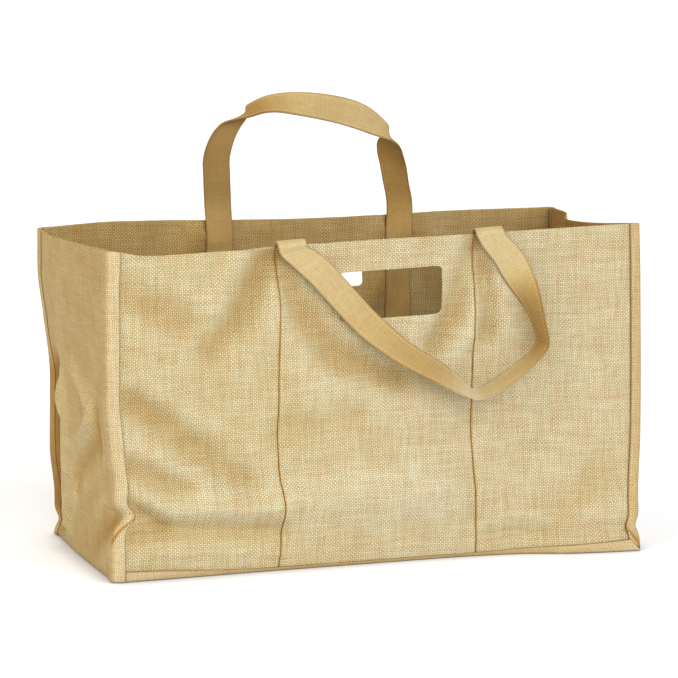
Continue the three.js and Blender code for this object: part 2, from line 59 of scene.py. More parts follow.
# Lean of the four corner edges in mm: how far each stands out sideways and endways of the plain box
CORNER_LEAN = {
    "front_left": table(
        "z side end",
        (0, 1.5, -6), (50, 2.5, -2), (100, 0, 1), (145, 4.5, 2), (200, 8.5, 2), (300, 7.5, 1), (354, 5.5, 0)),
    "front_right": table(
        "z side end",
        (0, -4, 12), (55, -5, 7), (134, -1, 2), (200, 0, -1), (305, -1, -3), (365, -3, -3)),
    "back_left": table(
        "z side end",
        (0, 1, 4), (47, 0, 2), (102, 5, 1), (185, 4, 0), (254, 11, 0), (309, 17, 0), (352, 16.5, 0)),
    "back_right": table(
        "z side end",
        (0, 1, 1), (60, -2, -1), (180, 3, 1), (300, 8, 0), (358, 7, 0)),
}

# Pinches where a corner edge buckles inwards above the floor
PINCHES = {
    "front_left": table("z rise side end reach", (70, 9.5, -13, -8, 40)),
    "front_right": table("z rise side end reach", (27, 8, -4, -2, 26)),
    "back_left": table("z rise side end reach", (18, 9, -5, -2, 30)),
    "back_right": table("z rise side end reach", (40, 12, -7, -4, 34)),
}

# Rim heights along each wall by share of its width
RIMS = {
    "front": table("u z", (0, 354.5), (0.075, 348), (0.2, 350), (0.42, 355.5), (0.7, 359.5), (1, 365)),
    "back": table("u z", (0, 352), (0.15, 357), (0.5, 354), (0.85, 358), (1, 358)),
    "left": table("u z", (0, 354.5), (0.5, 351), (0.85, 349), (1, 352)),
    "right": table("u z", (0, 365), (0.4, 357), (1, 358)),
}

# How far the bottom edge and the rim of each wall stand out from the line between its corners
BOWS = {
    "front": table(
        "u bottom rim",
        (0, 0, 0), (0.08, -3, 6), (0.3, -14, 3), (0.5, -21, 2),
        (0.67, -26, 0), (0.77, -23, -2), (0.88, -6, -2), (1, 0, 0)),
    "back": table("u bottom rim", (0, 0, 0), (0.3, -6, -5), (0.7, -8, -6), (1, 0, 0)),
    "left": table("u bottom rim", (0, 0, 0), (0.5, 3, 4), (1, 0, 0)),
    "right": table("u bottom rim", (0, 0, 0), (0.3, -3, -20), (0.6, -2, -16), (1, 0, 0)),
}

# Folds: a crease from one place to another, bowed sideways, with its width, height and sharpness;
# a hollow one is deepest at its first end
FOLD_COLUMNS = "a az b bz bow width height sharp"
FOLDS = {
    "front": table(
        FOLD_COLUMNS,
        (-134, 338, -190, 244, 5, 15, -14, 1.7),
        (-294, 313, -211, 269, -2, 16, -9, 1.8),
        (-286, 196, -143, 89, 1, 14, -11, 1.7),
        (-286, 127, -218, 95, -3, 11, -8, 1.7),
        (-287, 86, -247, 58, 0, 8, -13, 1.5),
        (-280, 51, -118, 43, 6, 12, -10, 2),
        (-200, 76, 60, 74, 0, 24, 10, 2),
        (18, 204, -110, 334, 30, 16, -11, 1.9),
        (58, 238, 97, 340, -7, 13, -11, 1.8),
        (123, 248, 108, 338, -4, 11, -9, 1.8),
        (-112, 152, -40, 162, 0, 16, -4, 2),
        (130, 22, 280, 26, 0, 10, -5, 2),
        (210, 54, 282, 104, 0, 22, -5, 2),
        (-113, 318, -104, 288, 0, 9, -5, 2),
        (113, 320, 120, 290, 0, 9, -5, 2)),
    "back": table(
        FOLD_COLUMNS,
        (-130, 334, -190, 246, 6, 18, -6, 2),
        (-105, 334, -30, 210, -20, 18, -6, 2),
        (100, 334, 40, 220, 16, 18, -6, 2),
        (128, 334, 196, 236, 6, 18, -6, 2),
        (284, 190, 150, 84, 6, 17, -7, 2),
        (-270, 50, 240, 44, 0, 16, -6, 2)),
    "left": table(
        FOLD_COLUMNS,
        (108, 44, 106, 186, 3, 22, -30, 2),
        (82, 186, 40, 146, 0, 7, 6, 1.1),
        (-6, 217, -80, 179, 2, 8, 8, 1.1),
        (-92, 176, -96, 132, 2, 9, -4, 1.2),
        (-74, 163, 34, 105, 0, 8, 9, 1.1),
        (-92, 148, 18, 88, 0, 12, -5, 1.3),
        (40, 94, 14, 83, 0, 7, 8, 1.1),
        (12, 70, 52, 28, 0, 7, 8, 1.1),
        (-128, 60, -60, 24, 3, 13, -6, 1.5)),
    "right": table(
        FOLD_COLUMNS,
        (0, 350, 6, 60, 10, 40, -16, 2),
        (-90, 190, 0, 96, 6, 18, 7, 1.5),
        (100, 210, 10, 110, -6, 18, 6, 1.5)),
}

# Slight unevenness of the cloth: waves by length, direction in degrees, start and height
RIPPLES = table(
    "length angle start height",
    (71, 24, 0.4, 0.45), (53, 101, 2.1, 0.4), (38, -33, 4.4, 0.3), (29, 63, 1.2, 0.22), (21, 140, 3.3, 0.14))

# Upright seams of the long walls, each at the left edge of a strap
SEAMS = {
    "front": {
        "left": table("z x", (0, -117), (60, -113), (123, -120), (258, -119), (350, -123)),
        "right": table("z x", (0, 112), (58, 111), (150, 103), (264, 104), (350, 102)),
    },
    "back": {
        "left": table("z x", (0, -121), (350, -122)),
        "right": table("z x", (0, 96), (350, 95)),
    },
}

# Hand slot of a long wall: its middle, its size, the round of its corners and its tilt in degrees
SLOT = SimpleNamespace(x=6.5, z=297, width=119, height=53, corner=6, tilt=1.9)

# Free loops of the handles: middle line, turn of the width in the upright plane,
# lift of the width out of that plane, and tone: painted shade where the strap lies in shade,
# and a painted highlight where the tone is below zero
LOOP_COLUMNS = "x off z turn lift tone"
FRONT_LOOP = table(
    LOOP_COLUMNS,
    (-104, 5.5, 347, 14, 0, 0), (-94, 5.5, 339, 25, 4, 0.1), (-77, 6, 324, 36, 8, 0.2),
    (-46, 6, 291, 43, 10, 0.4), (-20, 7, 264, 45, 14, 0.6), (20, 10, 232, 41, 30, 0.9),
    (56, 14, 211, 38, 38, 0.9), (75, 16.5, 199, 38, 50, 0.2), (90, 18, 189, 36, 66, -0.7),
    (101, 18.5, 184, 40, 74, -0.7), (113, 18.5, 186, 60, 76, -0.2), (131, 18.5, 195, 68, 72, 0.1),
    (155, 18.5, 212, 64, 73, 0.35), (172, 18.5, 227, 66, 80, 1.1), (178, 18.5, 239, 120, 84, 1.6),
    (176, 18.5, 250, 180, 85, 1.5), (172, 18.3, 263, 205, 81, 1.4), (166, 16.8, 281, 209, 69, 1.4),
    (158, 13.4, 299, 209, 46, 0.9), (149, 8.4, 317, 209, 14, 0.2), (138, 6, 334, 206, 3, 0),
    (124, 5.5, 350, 194, 0, 0))
REAR_LOOP = table(
    LOOP_COLUMNS,
    (-109.5, -6, 372, 0, 0, 1.3), (-113.5, -16, 407, 1, 0, 1.5), (-115.5, -22, 425.5, 2, 1, 1.6),
    (-113.5, -27.5, 441, 2, 3, 1.6), (-110, -31, 452, 3, 6, 1.5), (-105, -34, 461.5, 4, 10, 1.4),
    (-97.5, -36, 470, 8, 16, 1.6), (-88.5, -37.5, 475.5, 18, 42, 1.7), (-82, -38, 479.5, 63, 71, 2),
    (-70.5, -40, 484.5, 104, 69, 2), (-54.5, -41, 488.5, 97, 57, 1.1), (-23.5, -41, 488, 88, 36, 0.4),
    (23.5, -38.5, 480.5, 75, 14, 0.35), (52.5, -36, 471.5, 66, 18, 0.3), (73, -32, 461, 46, 36, 0.3),
    (87, -29, 452, 40, 57, 0.6), (91, -27.5, 446, 95, 76, 1.4), (91, -25, 439, 156, 50, 2),
    (93, -22, 428.5, 168, 32, 2.1), (98, -17.5, 414, 171, 14, 2), (103, -12, 395.5, 174, 3, 1.8),
    (110, -5.5, 370, 179, 0, 1.5))

# Painted shade on the sewn ends of the handle on each long wall
SEWN_SHADE = {"front": 0.5, "back": 1.2}

# Fold of a strap over the rim: share of the way over, height above the rim and turn of the width
RIM_FOLD = table("over up turn", (-0.2, 0.5, 0), (0.1, 3, 1), (0.5, 4.4, 3), (1.1, 3.8, 5), (1.7, 0.5, 7))


class BagSizes(bpy.types.PropertyGroup):
    """Sizes that drive the bag."""

    width: FloatProperty(
        name="Width", description="Length of the front wall", default=0.6, unit="LENGTH", subtype="DISTANCE")
    depth: FloatProperty(
        name="Depth", description="Length of a side wall", default=0.285, unit="LENGTH", subtype="DISTANCE")
    cloth: FloatProperty(
        name="Cloth", description="Thickness of the cloth", default=0.002, unit="LENGTH", subtype="DISTANCE")
    welt_width: FloatProperty(
        name="Welt Width", description="Width of a welt", default=0.013, unit="LENGTH", subtype="DISTANCE")
    welt_rise: FloatProperty(
        name="Welt Rise", description="Height of a welt over the wall", default=0.0024,
        unit="LENGTH", subtype="DISTANCE")
    strap_width: FloatProperty(
        name="Strap Width", description="Width of a handle strap", default=0.031,
        unit="LENGTH", subtype="DISTANCE")
    strap_thickness: FloatProperty(
        name="Strap Thickness", description="Thickness of a handle strap", default=0.0024,
        unit="LENGTH", subtype="DISTANCE")
    stitch: FloatProperty(
        name="Stitch", description="Length of one stitch", default=0.0032, unit="LENGTH", subtype="DISTANCE")
    stitch_pitch: FloatProperty(
        name="Stitch Pitch", description="Distance from one stitch to the next", default=0.0044,
        unit="LENGTH", subtype="DISTANCE")
    mesh_step: FloatProperty(
        name="Mesh Step", description="Distance between grid lines on the cloth", default=0.0025,
        unit="LENGTH", subtype="DISTANCE")


class BagFinish(bpy.types.PropertyGroup):
    """Colours and weave of the bag's cloths."""

    yarn_spacing: FloatProperty(
        name="Yarn Spacing", description="Distance between yarns of the body cloth", default=0.0021,
        unit="LENGTH", subtype="DISTANCE")
    body: FloatVectorProperty(
        name="Body", description="Colour of the body cloth's yarn", default=(0.62, 0.64, 0.495),
        size=3, min=0, max=1, subtype="COLOR")
    # Painted shade: the side panels are the body's cloth, given a darker, warmer yarn colour for the shade
    # they stand in
    side: FloatVectorProperty(
        name="Side", description="Colour of the side panels' yarn", default=(0.585, 0.52, 0.3),
        size=3, min=0, max=1, subtype="COLOR")
    welt: FloatVectorProperty(
        name="Welt", description="Colour of the welts' yarn", default=(0.635, 0.57, 0.38),
        size=3, min=0, max=1, subtype="COLOR")
    strap: FloatVectorProperty(
        name="Strap", description="Colour of the straps' yarn", default=(0.58, 0.5, 0.285),
        size=3, min=0, max=1, subtype="COLOR")
    # Gap: partly the cloth's own dark, partly painted shade between the yarns
    gap: FloatVectorProperty(
        name="Gap", description="Colour between the yarns", default=(0.33, 0.21, 0.08),
        size=3, min=0, max=1, subtype="COLOR")
    thread: FloatVectorProperty(
        name="Thread", description="Colour of the sewing thread", default=(0.72, 0.55, 0.29),
        size=3, min=0, max=1, subtype="COLOR")


def millimetres(sizes):
    """The size properties as plain numbers in millimetres."""
    return SimpleNamespace(**{name: getattr(sizes, name) / MM for name in BagSizes.__annotations__})


# Shared curves and surfaces


def mix(a, b, share):
    return a + (b - a) * share


def bell(distance, reach, sharp=2.0):
    """Smooth bump: one in the middle, fading to nothing past its reach."""
    return np.exp(-(np.abs(distance) / reach) ** sharp)


def ramp(value):
    """Smooth step from zero to one."""
    value = np.clip(value, 0, 1)
    return value * value * (3 - 2 * value)


def unit(vectors):
    return vectors / np.maximum(np.linalg.norm(vectors, axis=-1, keepdims=True), 1e-9)


def run_length(points):
    """Distance along a row of points from its start to each of them."""
    return np.append(0, np.cumsum(np.linalg.norm(np.diff(points, axis=0), axis=-1)))


def curve(rows, key, column):
    """Smooth curve through a table column: cubic between rows, and flat where the column turns back."""
    at, value = rows[key], rows[column]
    steps = np.diff(value) / np.diff(at)
    before = np.append(steps[:1], steps)
    after = np.append(steps, steps[-1:])
    same_way = before * after > 0
    slope = np.where(same_way, 2 * before * after / np.where(same_way, before + after, 1), 0)

    def read(where):
        where = np.clip(where, at[0], at[-1])
        i = np.clip(np.searchsorted(at, where, side="right") - 1, 0, len(at) - 2)
        span = at[i + 1] - at[i]
        s = (where - at[i]) / span
        low = value[i] + s * s * (3 - 2 * s) * (value[i + 1] - value[i])
        return low + span * s * (1 - s) * (slope[i] * (1 - s) - slope[i + 1] * s)

    return read


class CornerEdge:
    """Upright edge between two walls: a lean by height and a pinch that reaches along both walls."""

    def __init__(self, name, side_sign, end_sign, size):
        self.side_sign, self.end_sign, self.size = side_sign, end_sign, size
        self.side = curve(CORNER_LEAN[name], "z", "side")
        self.end = curve(CORNER_LEAN[name], "z", "end")
        self.buckle = {column: value[0] for column, value in PINCHES[name].items()}

    def x(self, z):
        return self.side_sign * (self.size.width / 2 + self.side(z))

    def y(self, z):
        return self.end_sign * (self.size.depth / 2 + self.end(z))

    def pinch(self, z, away):
        share = bell(z - self.buckle["z"], self.buckle["rise"]) * bell(away, self.buckle["reach"])
        return self.side_sign * self.buckle["side"] * share, self.end_sign * self.buckle["end"] * share


class Wall:
    """Wall between two corner edges; a place on it is a share of its width, a height and an inset."""

    # Folds: loss of depth towards the far end, height of the shoulders, and reach of the fade
    # at the corners and at the floor
    FOLD_TAPER = 0.45
    SHOULDER = 0.28
    EDGE_FADE = 24
    FLOOR_FADE = 14

    # Painted shade, less of it on shoulders and ridges as a painted highlight and more on the side walls in
    # shade:
    # of open cloth, fold depth that adds one, share of the ripples, fade at the corners, and most
    OPEN_SHADE = {"front": 0.3, "back": 0.3, "left": 0.6, "right": 0.6}
    DEEP_FOLD = {"front": 12.5, "back": 12.5, "left": 5, "right": 16}
    RIPPLE_SHADE = 0.2
    SHADE_FADE = 5
    DARKEST = 2.6

    def __init__(self, name, start, finish, outward, length):
        self.name, self.start, self.finish, self.length = name, start, finish, length
        self.outward = np.array(outward, float)
        self.rim = curve(RIMS[name], "u", "z")
        self.bottom_bow = curve(BOWS[name], "u", "bottom")
        self.rim_bow = curve(BOWS[name], "u", "rim")

    def line(self, u, z):
        """Point of the plain wall: a straight mix of its two corner edges, with their pinches."""
        from_x, from_y = self.start.pinch(z, u * self.length)
        to_x, to_y = self.finish.pinch(z, (1 - u) * self.length)
        x = mix(self.start.x(z), self.finish.x(z), u) + from_x + to_x
        y = mix(self.start.y(z), self.finish.y(z), u) + from_y + to_y
        return x, y

    def folds(self, along, z):
        """Sum of the creases: each a bell across a bowed line, fading past both of its ends.

        A hollow crease has a low shoulder on both sides.
        """
        fold = FOLDS[self.name]
        along, z = along[..., None], z[..., None]
        run, rise = fold["b"] - fold["a"], fold["bz"] - fold["az"]
        length = np.hypot(run, rise)
        t = ((along - fold["a"]) * run + (z - fold["az"]) * rise) / length ** 2
        inside = np.clip(t, 0, 1)
        across = ((z - fold["az"]) * run - (along - fold["a"]) * rise) / length
        across = across - fold["bow"] * 4 * inside * (1 - inside)
        hollow = fold["height"] < 0
        height = fold["height"] * np.where(hollow, 1 - self.FOLD_TAPER * inside, 1)
        beside = np.abs(across) - 2 * fold["width"]
        shoulder = np.where(hollow, self.SHOULDER, 0) * bell(beside, fold["width"])
        bumps = height * (bell(across, fold["width"], fold["sharp"]) - shoulder)
        return (bumps * bell((t - inside) * length, fold["width"])).sum(axis=-1)

    def ripples(self, along, z):
        """Sum of a few slanted waves, uneven in height over the wall."""
        along, z = along[..., None], z[..., None]
        angle = np.radians(RIPPLES["angle"])
        phase = (along * np.cos(angle) + z * np.sin(angle)) * 2 * np.pi / RIPPLES["length"]
        uneven = 0.6 + 0.4 * np.sin(along / 47 + z / 61 + RIPPLES["start"] * 2)
        return (RIPPLES["height"] * uneven * np.sin(phase + RIPPLES["start"])).sum(axis=-1)

    def creases(self, u, z):
        """Line of the plain wall, distance to its ends, folds, ripples, and the fade of both."""
        x, y = self.line(u, z)
        along = x if self.outward[0] == 0 else y
        edge = np.minimum(u, 1 - u) * self.length
        fade = (1 - bell(edge, self.EDGE_FADE)) * (1 - bell(z, self.FLOOR_FADE))
        return x, y, edge, self.folds(along, z), self.ripples(along, z), fade

    def place(self, u, z, inset=0.0):
        """Point of the wall: its line, moved outwards by the folds, the ripples and the bow."""
        u, z, inset = np.broadcast_arrays(u, z, inset)
        x, y, _, folds, ripples, fade = self.creases(u, z)
        bow = mix(self.bottom_bow(u), self.rim_bow(u), z / self.rim(u))
        out = (folds + ripples) * fade + bow - inset
        return np.stack([x + self.outward[0] * out, y + self.outward[1] * out, z], axis=-1)

    def hollow(self, u, z):
        """Painted shade by depth in the creases: none on a shoulder, which shows as a painted highlight beside
        open cloth, and over one at the bottom of a deep fold.
        """
        _, _, edge, folds, ripples, _ = self.creases(u, z)
        rise = folds / self.DEEP_FOLD[self.name] + self.RIPPLE_SHADE * ripples
        depth = -rise * (1 - bell(edge, self.SHADE_FADE))
        return np.clip(self.OPEN_SHADE[self.name] + depth, 0, self.DARKEST)

    def share(self, x, z):
        """Share of the width at which the wall has the given x."""
        return (x - self.start.x(z)) / (self.finish.x(z) - self.start.x(z))

    def seam(self, side, offset=0.0):
        """Share of the width along one of the upright seams, as a function of height."""
        x = curve(SEAMS[self.name][side], "z", "x")
        return lambda z: self.share(x(z) + offset, z)

    def normal(self, u, z):
        """Outward direction of the wall's face."""
        step_u, step_z = 1.0 / self.length, 1.0
        run = self.place(u + step_u, z) - self.place(u - step_u, z)
        rise = self.place(u, z + step_z) - self.place(u, z - step_z)
        face = unit(np.cross(run, rise))
        facing = np.sign((face * np.append(self.outward, 0)).sum(axis=-1, keepdims=True))
        return face * np.where(facing == 0, 1, facing)


def bag_walls(size):
    """The four walls between the four corner edges."""
    corners = {
        "front_left": CornerEdge("front_left", -1, -1, size),
        "front_right": CornerEdge("front_right", 1, -1, size),
        "back_left": CornerEdge("back_left", -1, 1, size),
        "back_right": CornerEdge("back_right", 1, 1, size),
    }
    return {
        "front": Wall("front", corners["front_left"], corners["front_right"], (0, -1), size.width),
        "back": Wall("back", corners["back_left"], corners["back_right"], (0, 1), size.width),
        "left": Wall("left", corners["front_left"], corners["back_left"], (-1, 0), size.depth),
        "right": Wall("right", corners["front_right"], corners["back_right"], (1, 0), size.depth),
    }


# Meshes

# Least and most painted shading that a piece carries: a painted highlight below zero, painted shade above it
SHADING_RANGE = (-1, 2.5)


def grid_quads(across, up, ring=False):
    """Corner numbers of the cells of a grid, closed on itself across where it is a ring."""
    columns = np.arange(across if ring else across - 1)[:, None]
    rows = np.arange(up - 1)[None, :]
    after = (columns + 1) % across
    cells = [columns * up + rows, after * up + rows, after * up + rows + 1, columns * up + rows + 1]
    return np.stack(np.broadcast_arrays(*cells), axis=-1).reshape(-1, 4)


def strip_quads(one, other):
    """Cells between two closed rows of points, given by their numbers."""
    return np.stack([one, np.roll(one, -1), np.roll(other, -1), other], axis=-1)


def edge_loops(across, up, ring):
    """Numbers of the border points of a grid, as closed rows."""
    number = np.arange(across * up).reshape(across, up)
    if ring:
        return [number[:, -1], number[::-1, 0]]
    return [np.concatenate([number[:-1, 0], number[-1, :-1], number[:0:-1, -1], number[0, :0:-1]])[::-1]]


def rolled_sheet(outer, inner, place, ring=False, bulge=0.45, inside=0.0, turns=(45, 90, 135)):
    """Closed sheet: an outer and an inner grid of points, joined along every border by a rounded edge.

    place holds the flat cloth position and the painted shade of each grid point, carried over to the edges;
    inside is the painted shade that the inner face adds.
    """
    across, up = outer.shape[:2]
    count = across * up
    i = np.arange(across)[:, None]
    j = np.arange(up)[None, :]
    beside = (i if ring else np.clip(i, 1, across - 2)) * up + np.clip(j, 1, up - 2)
    beside = np.broadcast_to(beside, (across, up)).ravel()
    face, lining = outer.reshape(-1, 3), inner.reshape(-1, 3)
    flat = place.reshape(count, -1)
    points = [face, lining]
    places = [flat, flat + np.array([0, 0, inside])[:flat.shape[1]]]
    quads = [grid_quads(across, up, ring), grid_quads(across, up, ring)[:, ::-1] + count]
    total = 2 * count
    for loop in edge_loops(across, up, ring):
        middle = (face[loop] + lining[loop]) / 2
        half = (face[loop] - lining[loop]) / 2
        away = unit(middle - (face[beside[loop]] + lining[beside[loop]]) / 2)
        reach = bulge * np.linalg.norm(half, axis=-1, keepdims=True)
        last = loop
        for turn in np.radians(turns):
            points.append(middle + half * np.cos(turn) + away * reach * np.sin(turn))
            places.append(flat[loop] + (flat[loop] - flat[beside[loop]]) * turn)
            row = total + np.arange(len(loop))
            quads.append(strip_quads(last, row))
            total += len(loop)
            last = row
        quads.append(strip_quads(last, loop + count))
    return np.concatenate(points), np.concatenate(quads), np.concatenate(places)


def facing_out(points, faces):
    """Turns the faces of a closed mesh so that the volume inside it is positive."""
    corner = points[faces]
    fan = [np.einsum("ij,ij->i", corner[:, 0], np.cross(corner[:, k], corner[:, k + 1]))
           for k in range(1, faces.shape[1] - 1)]
    return faces if sum(part.sum() for part in fan) > 0 else faces[:, ::-1]


def make_piece(name, points, faces, places, material):
    """Mesh object from points in millimetres, with the flat cloth positions as its UV map and its painted
    shading as the hollow attribute.
    """
    faces = facing_out(points, faces)
    mesh = bpy.data.meshes.new(name)
    corners = faces.shape[1]
    mesh.vertices.add(len(points))
    mesh.vertices.foreach_set("co", (points * MM).ravel())
    mesh.loops.add(faces.size)
    mesh.loops.foreach_set("vertex_index", faces.ravel().astype(np.int32))
    mesh.polygons.add(len(faces))
    mesh.polygons.foreach_set("loop_start", np.arange(0, faces.size, corners, dtype=np.int32))
    mesh.polygons.foreach_set("use_smooth", np.ones(len(faces), bool))
    mesh.update(calc_edges=True)
    if mesh.validate():
        raise RuntimeError(f"{name}: the mesh had faults")
    cloth = mesh.uv_layers.new(name="cloth")
    cloth.uv.foreach_set("vector", (places[faces.ravel(), :2] * MM).ravel())
    if places.shape[1] == 3:
        # The hollow attribute carries the painted shade, and the painted highlight below zero
        hollow = mesh.attributes.new("hollow", "FLOAT", "POINT")
        hollow.data.foreach_set("value", np.clip(places[:, 2], *SHADING_RANGE).astype(np.float32))
    mesh.materials.append(material)
    piece = bpy.data.objects.new(name, mesh)
    bpy.context.scene.collection.objects.link(piece)
    return piece


def dress(piece, nodes=(), flat=None):
    """Fixes a piece to the bag and hides the model nodes it stands for; its flat cut in millimetres is not
    used.
    """
    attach(piece, "root")
    if nodes:
        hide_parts(*nodes)


# Cloth

# Strengths that the weave takes, with what they are where a cloth doesn't set them
MARKS = {
    "Slubs": 0.5, "Patches": 0.5, "Clouds": 0.2, "Flecks": 0.5, "Weft shade": 0.3, "Edge shade": 0,
    "Painted warm cast": 0,
}

# Cloths: share of the body's yarn spacing, relief of the weave in mm and strength of its marks
CLOTHS = {
    "body": (1, 0.6, {
        "Slubs": 0.75, "Patches": 0.04, "Clouds": 0.12, "Flecks": 0.4, "Weft shade": 0.42, "Painted warm cast": 1}),
    # The side cloth: the body's cloth with painted shade in its yarn colour
    "side": (1, 0.6, {"Slubs": 0.7, "Patches": 0.08, "Clouds": 0.25, "Flecks": 0.4, "Weft shade": 0.25}),
    "welt": (1, 0.5, {
        "Slubs": 0.7, "Patches": 0.05, "Clouds": 0.25, "Flecks": 0.3, "Weft shade": 0.35, "Edge shade": 0.6}),
    "strap": (0.55, 0.3, {
        "Slubs": 0.4, "Patches": 0.15, "Clouds": 0.3, "Flecks": 0.25, "Weft shade": 0.1, "Edge shade": 0.35}),
}

# Tints of the marks: woody flecks, shade along turned-in edges, painted shade in the creases by its amount,
# and a painted warm cast towards one end of the cloth
FLECK_TINT = (0.2, 0.12, 0.05, 1)
EDGE_TINT = (0.16, 0.09, 0.03, 1)
PAINTED_SHADE_TINT = (0.81, 0.7, 0.51, 1)
LIGHT_CAST_TINT = (1.0, 0.975, 0.9, 1)


class Graph:
    """Short way to add and join shader nodes."""

    def __init__(self, tree):
        self.tree = tree

    def join(self, source, socket):
        if isinstance(source, bpy.types.NodeSocket):
            self.tree.links.new(source, socket)
        else:
            socket.default_value = source

    def node(self, kind, inputs=(), **settings):
        node = self.tree.nodes.new(f"ShaderNode{kind}")
        for name, value in settings.items():
            setattr(node, name, value)
        for name, value in dict(inputs).items():
            self.join(value, node.inputs[name])
        return node

    def math(self, operation, *values):
        node = self.node("Math", operation=operation)
        for socket, value in zip(node.inputs, values):
            self.join(value, socket)
        return node.outputs[0]

    def plus(self, a, b):
        return self.math("ADD", a, b)

    def minus(self, a, b):
        return self.math("SUBTRACT", a, b)

    def times(self, a, b):
        return self.math("MULTIPLY", a, b)

    def vector(self, operation, a, b):
        by = "Scale" if operation == "SCALE" else 1
        return self.node("VectorMath", {0: a, by: b}, operation=operation).outputs[0]

    def split(self, vector):
        return self.node("SeparateXYZ", {0: vector}).outputs

    def mixed(self, share, a, b, blend="MIX"):
        return self.node("Mix", {0: share, 6: a, 7: b}, data_type="RGBA", blend_type=blend).outputs[2]

    def noise(self, place, scale, detail=2.0, roughness=0.5):
        inputs = {"Vector": place, "Scale": scale, "Detail": detail, "Roughness": roughness}
        return self.node("TexNoise", inputs, noise_dimensions="2D").outputs

    def spread(self, value, low, high, to_low=0.0, to_high=1.0):
        node = self.node("MapRange", interpolation_type="SMOOTHSTEP")
        for socket, number in zip(node.inputs, (value, low, high, to_low, to_high)):
            self.join(number, socket)
        return node.outputs[0]


def jute_weave():
    """Plain weave of uneven jute yarn: colour, height and roughness by flat position on the cloth."""
    name = "Jute weave"
    if name in bpy.data.node_groups:
        return bpy.data.node_groups[name]
    tree = bpy.data.node_groups.new(name, "ShaderNodeTree")
    numbers = dict.fromkeys(("Yarn spacing", "Painted shading", *MARKS), "Float")
    sockets = {
        "INPUT": {"Place": "Vector", "Yarn": "Color", "Gap": "Color", **numbers},
        "OUTPUT": {"Color": "Color", "Height": "Float", "Roughness": "Float"},
    }
    for way, kinds in sockets.items():
        for label, kind in kinds.items():
            socket = tree.interface.new_socket(name=label, in_out=way, socket_type=f"NodeSocket{kind}")
            if label in MARKS:
                socket.default_value = MARKS[label]
    graph = Graph(tree)
    plus, minus, times, spread = graph.plus, graph.minus, graph.times, graph.spread
    given = tree.nodes.new("NodeGroupInput").outputs
    place, spacing = given["Place"], given["Yarn spacing"]

    # Yarn lines, a little bent by the hand of the loom
    bend = graph.vector("SUBTRACT", graph.noise(place, 45.0)[1], (0.5, 0.5, 0.5))
    lines = graph.split(graph.vector("ADD", place, graph.vector("SCALE", bend, times(spacing, 2.2))))
    u = graph.math("DIVIDE", lines[0], spacing)
    v = graph.math("DIVIDE", lines[1], times(spacing, 0.9))

    # Over and under: each yarn is a round ridge that rises where it crosses on top
    wave_u, wave_v = (graph.math("SINE", times(line, np.pi)) for line in (u, v))
    ridge_u, ridge_v = (graph.math("POWER", graph.math("ABSOLUTE", wave), 0.6) for wave in (wave_u, wave_v))
    over = times(wave_u, wave_v)
    warp = times(ridge_u, graph.math("MULTIPLY_ADD", over, 0.5, 0.5))
    weft = times(ridge_v, graph.math("MULTIPLY_ADD", over, -0.5, 0.5))
    height = graph.math("MAXIMUM", warp, weft)

    # Tone of each yarn, drifting along its length
    def yarn_tone(along, across):
        number = graph.math("FLOOR", across)
        key = graph.node("CombineXYZ", {"X": times(along, 0.045), "Y": times(number, 3.7)})
        return graph.noise(key.outputs[0], 1.0, 3.0, 0.6)[0]

    on_top = spread(over, -0.15, 0.15)
    below = minus(1.0, on_top)
    warp_tone, weft_tone = yarn_tone(v, u), yarn_tone(u, v)
    tone = plus(times(on_top, warp_tone), times(below, weft_tone))
    streak = minus(plus(warp_tone, weft_tone), 1.0)
    uneven = graph.math("MULTIPLY_ADD", streak, 0.3, minus(tone, 0.5))
    level = minus(spread(height, 0.08, 0.8), times(below, given["Weft shade"]))
    level = plus(level, times(uneven, given["Slubs"]))

    # Soft clouds of thicker and thinner yarn, and warm patches over the cloth
    cloud = minus(graph.noise(place, 170.0, 2.0, 0.6)[0], 0.5)
    broad = spread(graph.noise(place, 11.0, 4.0, 0.55)[0], 0.35, 0.7)
    level = plus(level, times(cloud, given["Clouds"]))
    level = minus(level, times(broad, given["Patches"]))
    level = graph.math("MAXIMUM", graph.math("MINIMUM", level, 1.0), 0.0)
    # From the gap colour to the yarn colour: partly the yarns' own colours, partly painted shade in the gaps
    # and a painted highlight on the yarn tops
    color = graph.mixed(level, given["Gap"], given["Yarn"])

    # Dark woody flecks
    fleck = spread(graph.noise(place, 420.0)[0], 0.73, 0.8)
    color = graph.mixed(times(fleck, given["Flecks"]), color, FLECK_TINT)

    # Shade along the turned-in edge of the cloth
    from_edge = graph.split(place)[0]
    edge = spread(from_edge, 0.0002, 0.0016, 1.0, 0.0)
    color = graph.mixed(times(edge, given["Edge shade"]), color, EDGE_TINT)

    # Painted shade, warm and dark, in the creases and wherever the piece carries it; a painted highlight where
    # it is below zero
    deep = graph.node("Gamma", {"Color": PAINTED_SHADE_TINT, "Gamma": given["Painted shading"]})
    color = graph.mixed(1.0, color, deep.outputs[0], "MULTIPLY")

    # Painted light: one end of the cloth a little warmer, standing in for the cooler light that falls on the
    # other end
    warm = spread(from_edge, -0.14, 0.1, 1.0, 0.0)
    color = graph.mixed(times(warm, given["Painted warm cast"]), color, LIGHT_CAST_TINT, "MULTIPLY")

    result = tree.nodes.new("NodeGroupOutput").inputs
    graph.join(color, result["Color"])
    graph.join(graph.math("MULTIPLY_ADD", tone, 0.25, height), result["Height"])
    graph.join(graph.math("MULTIPLY_ADD", height, -0.25, 0.8), result["Roughness"])
    return tree


def new_material(name):
    """New material, with its graph and the sockets of its surface."""
    material = bpy.data.materials.new(name)
    material.use_nodes = True
    return material, Graph(material.node_tree), material.node_tree.nodes["Principled BSDF"].inputs


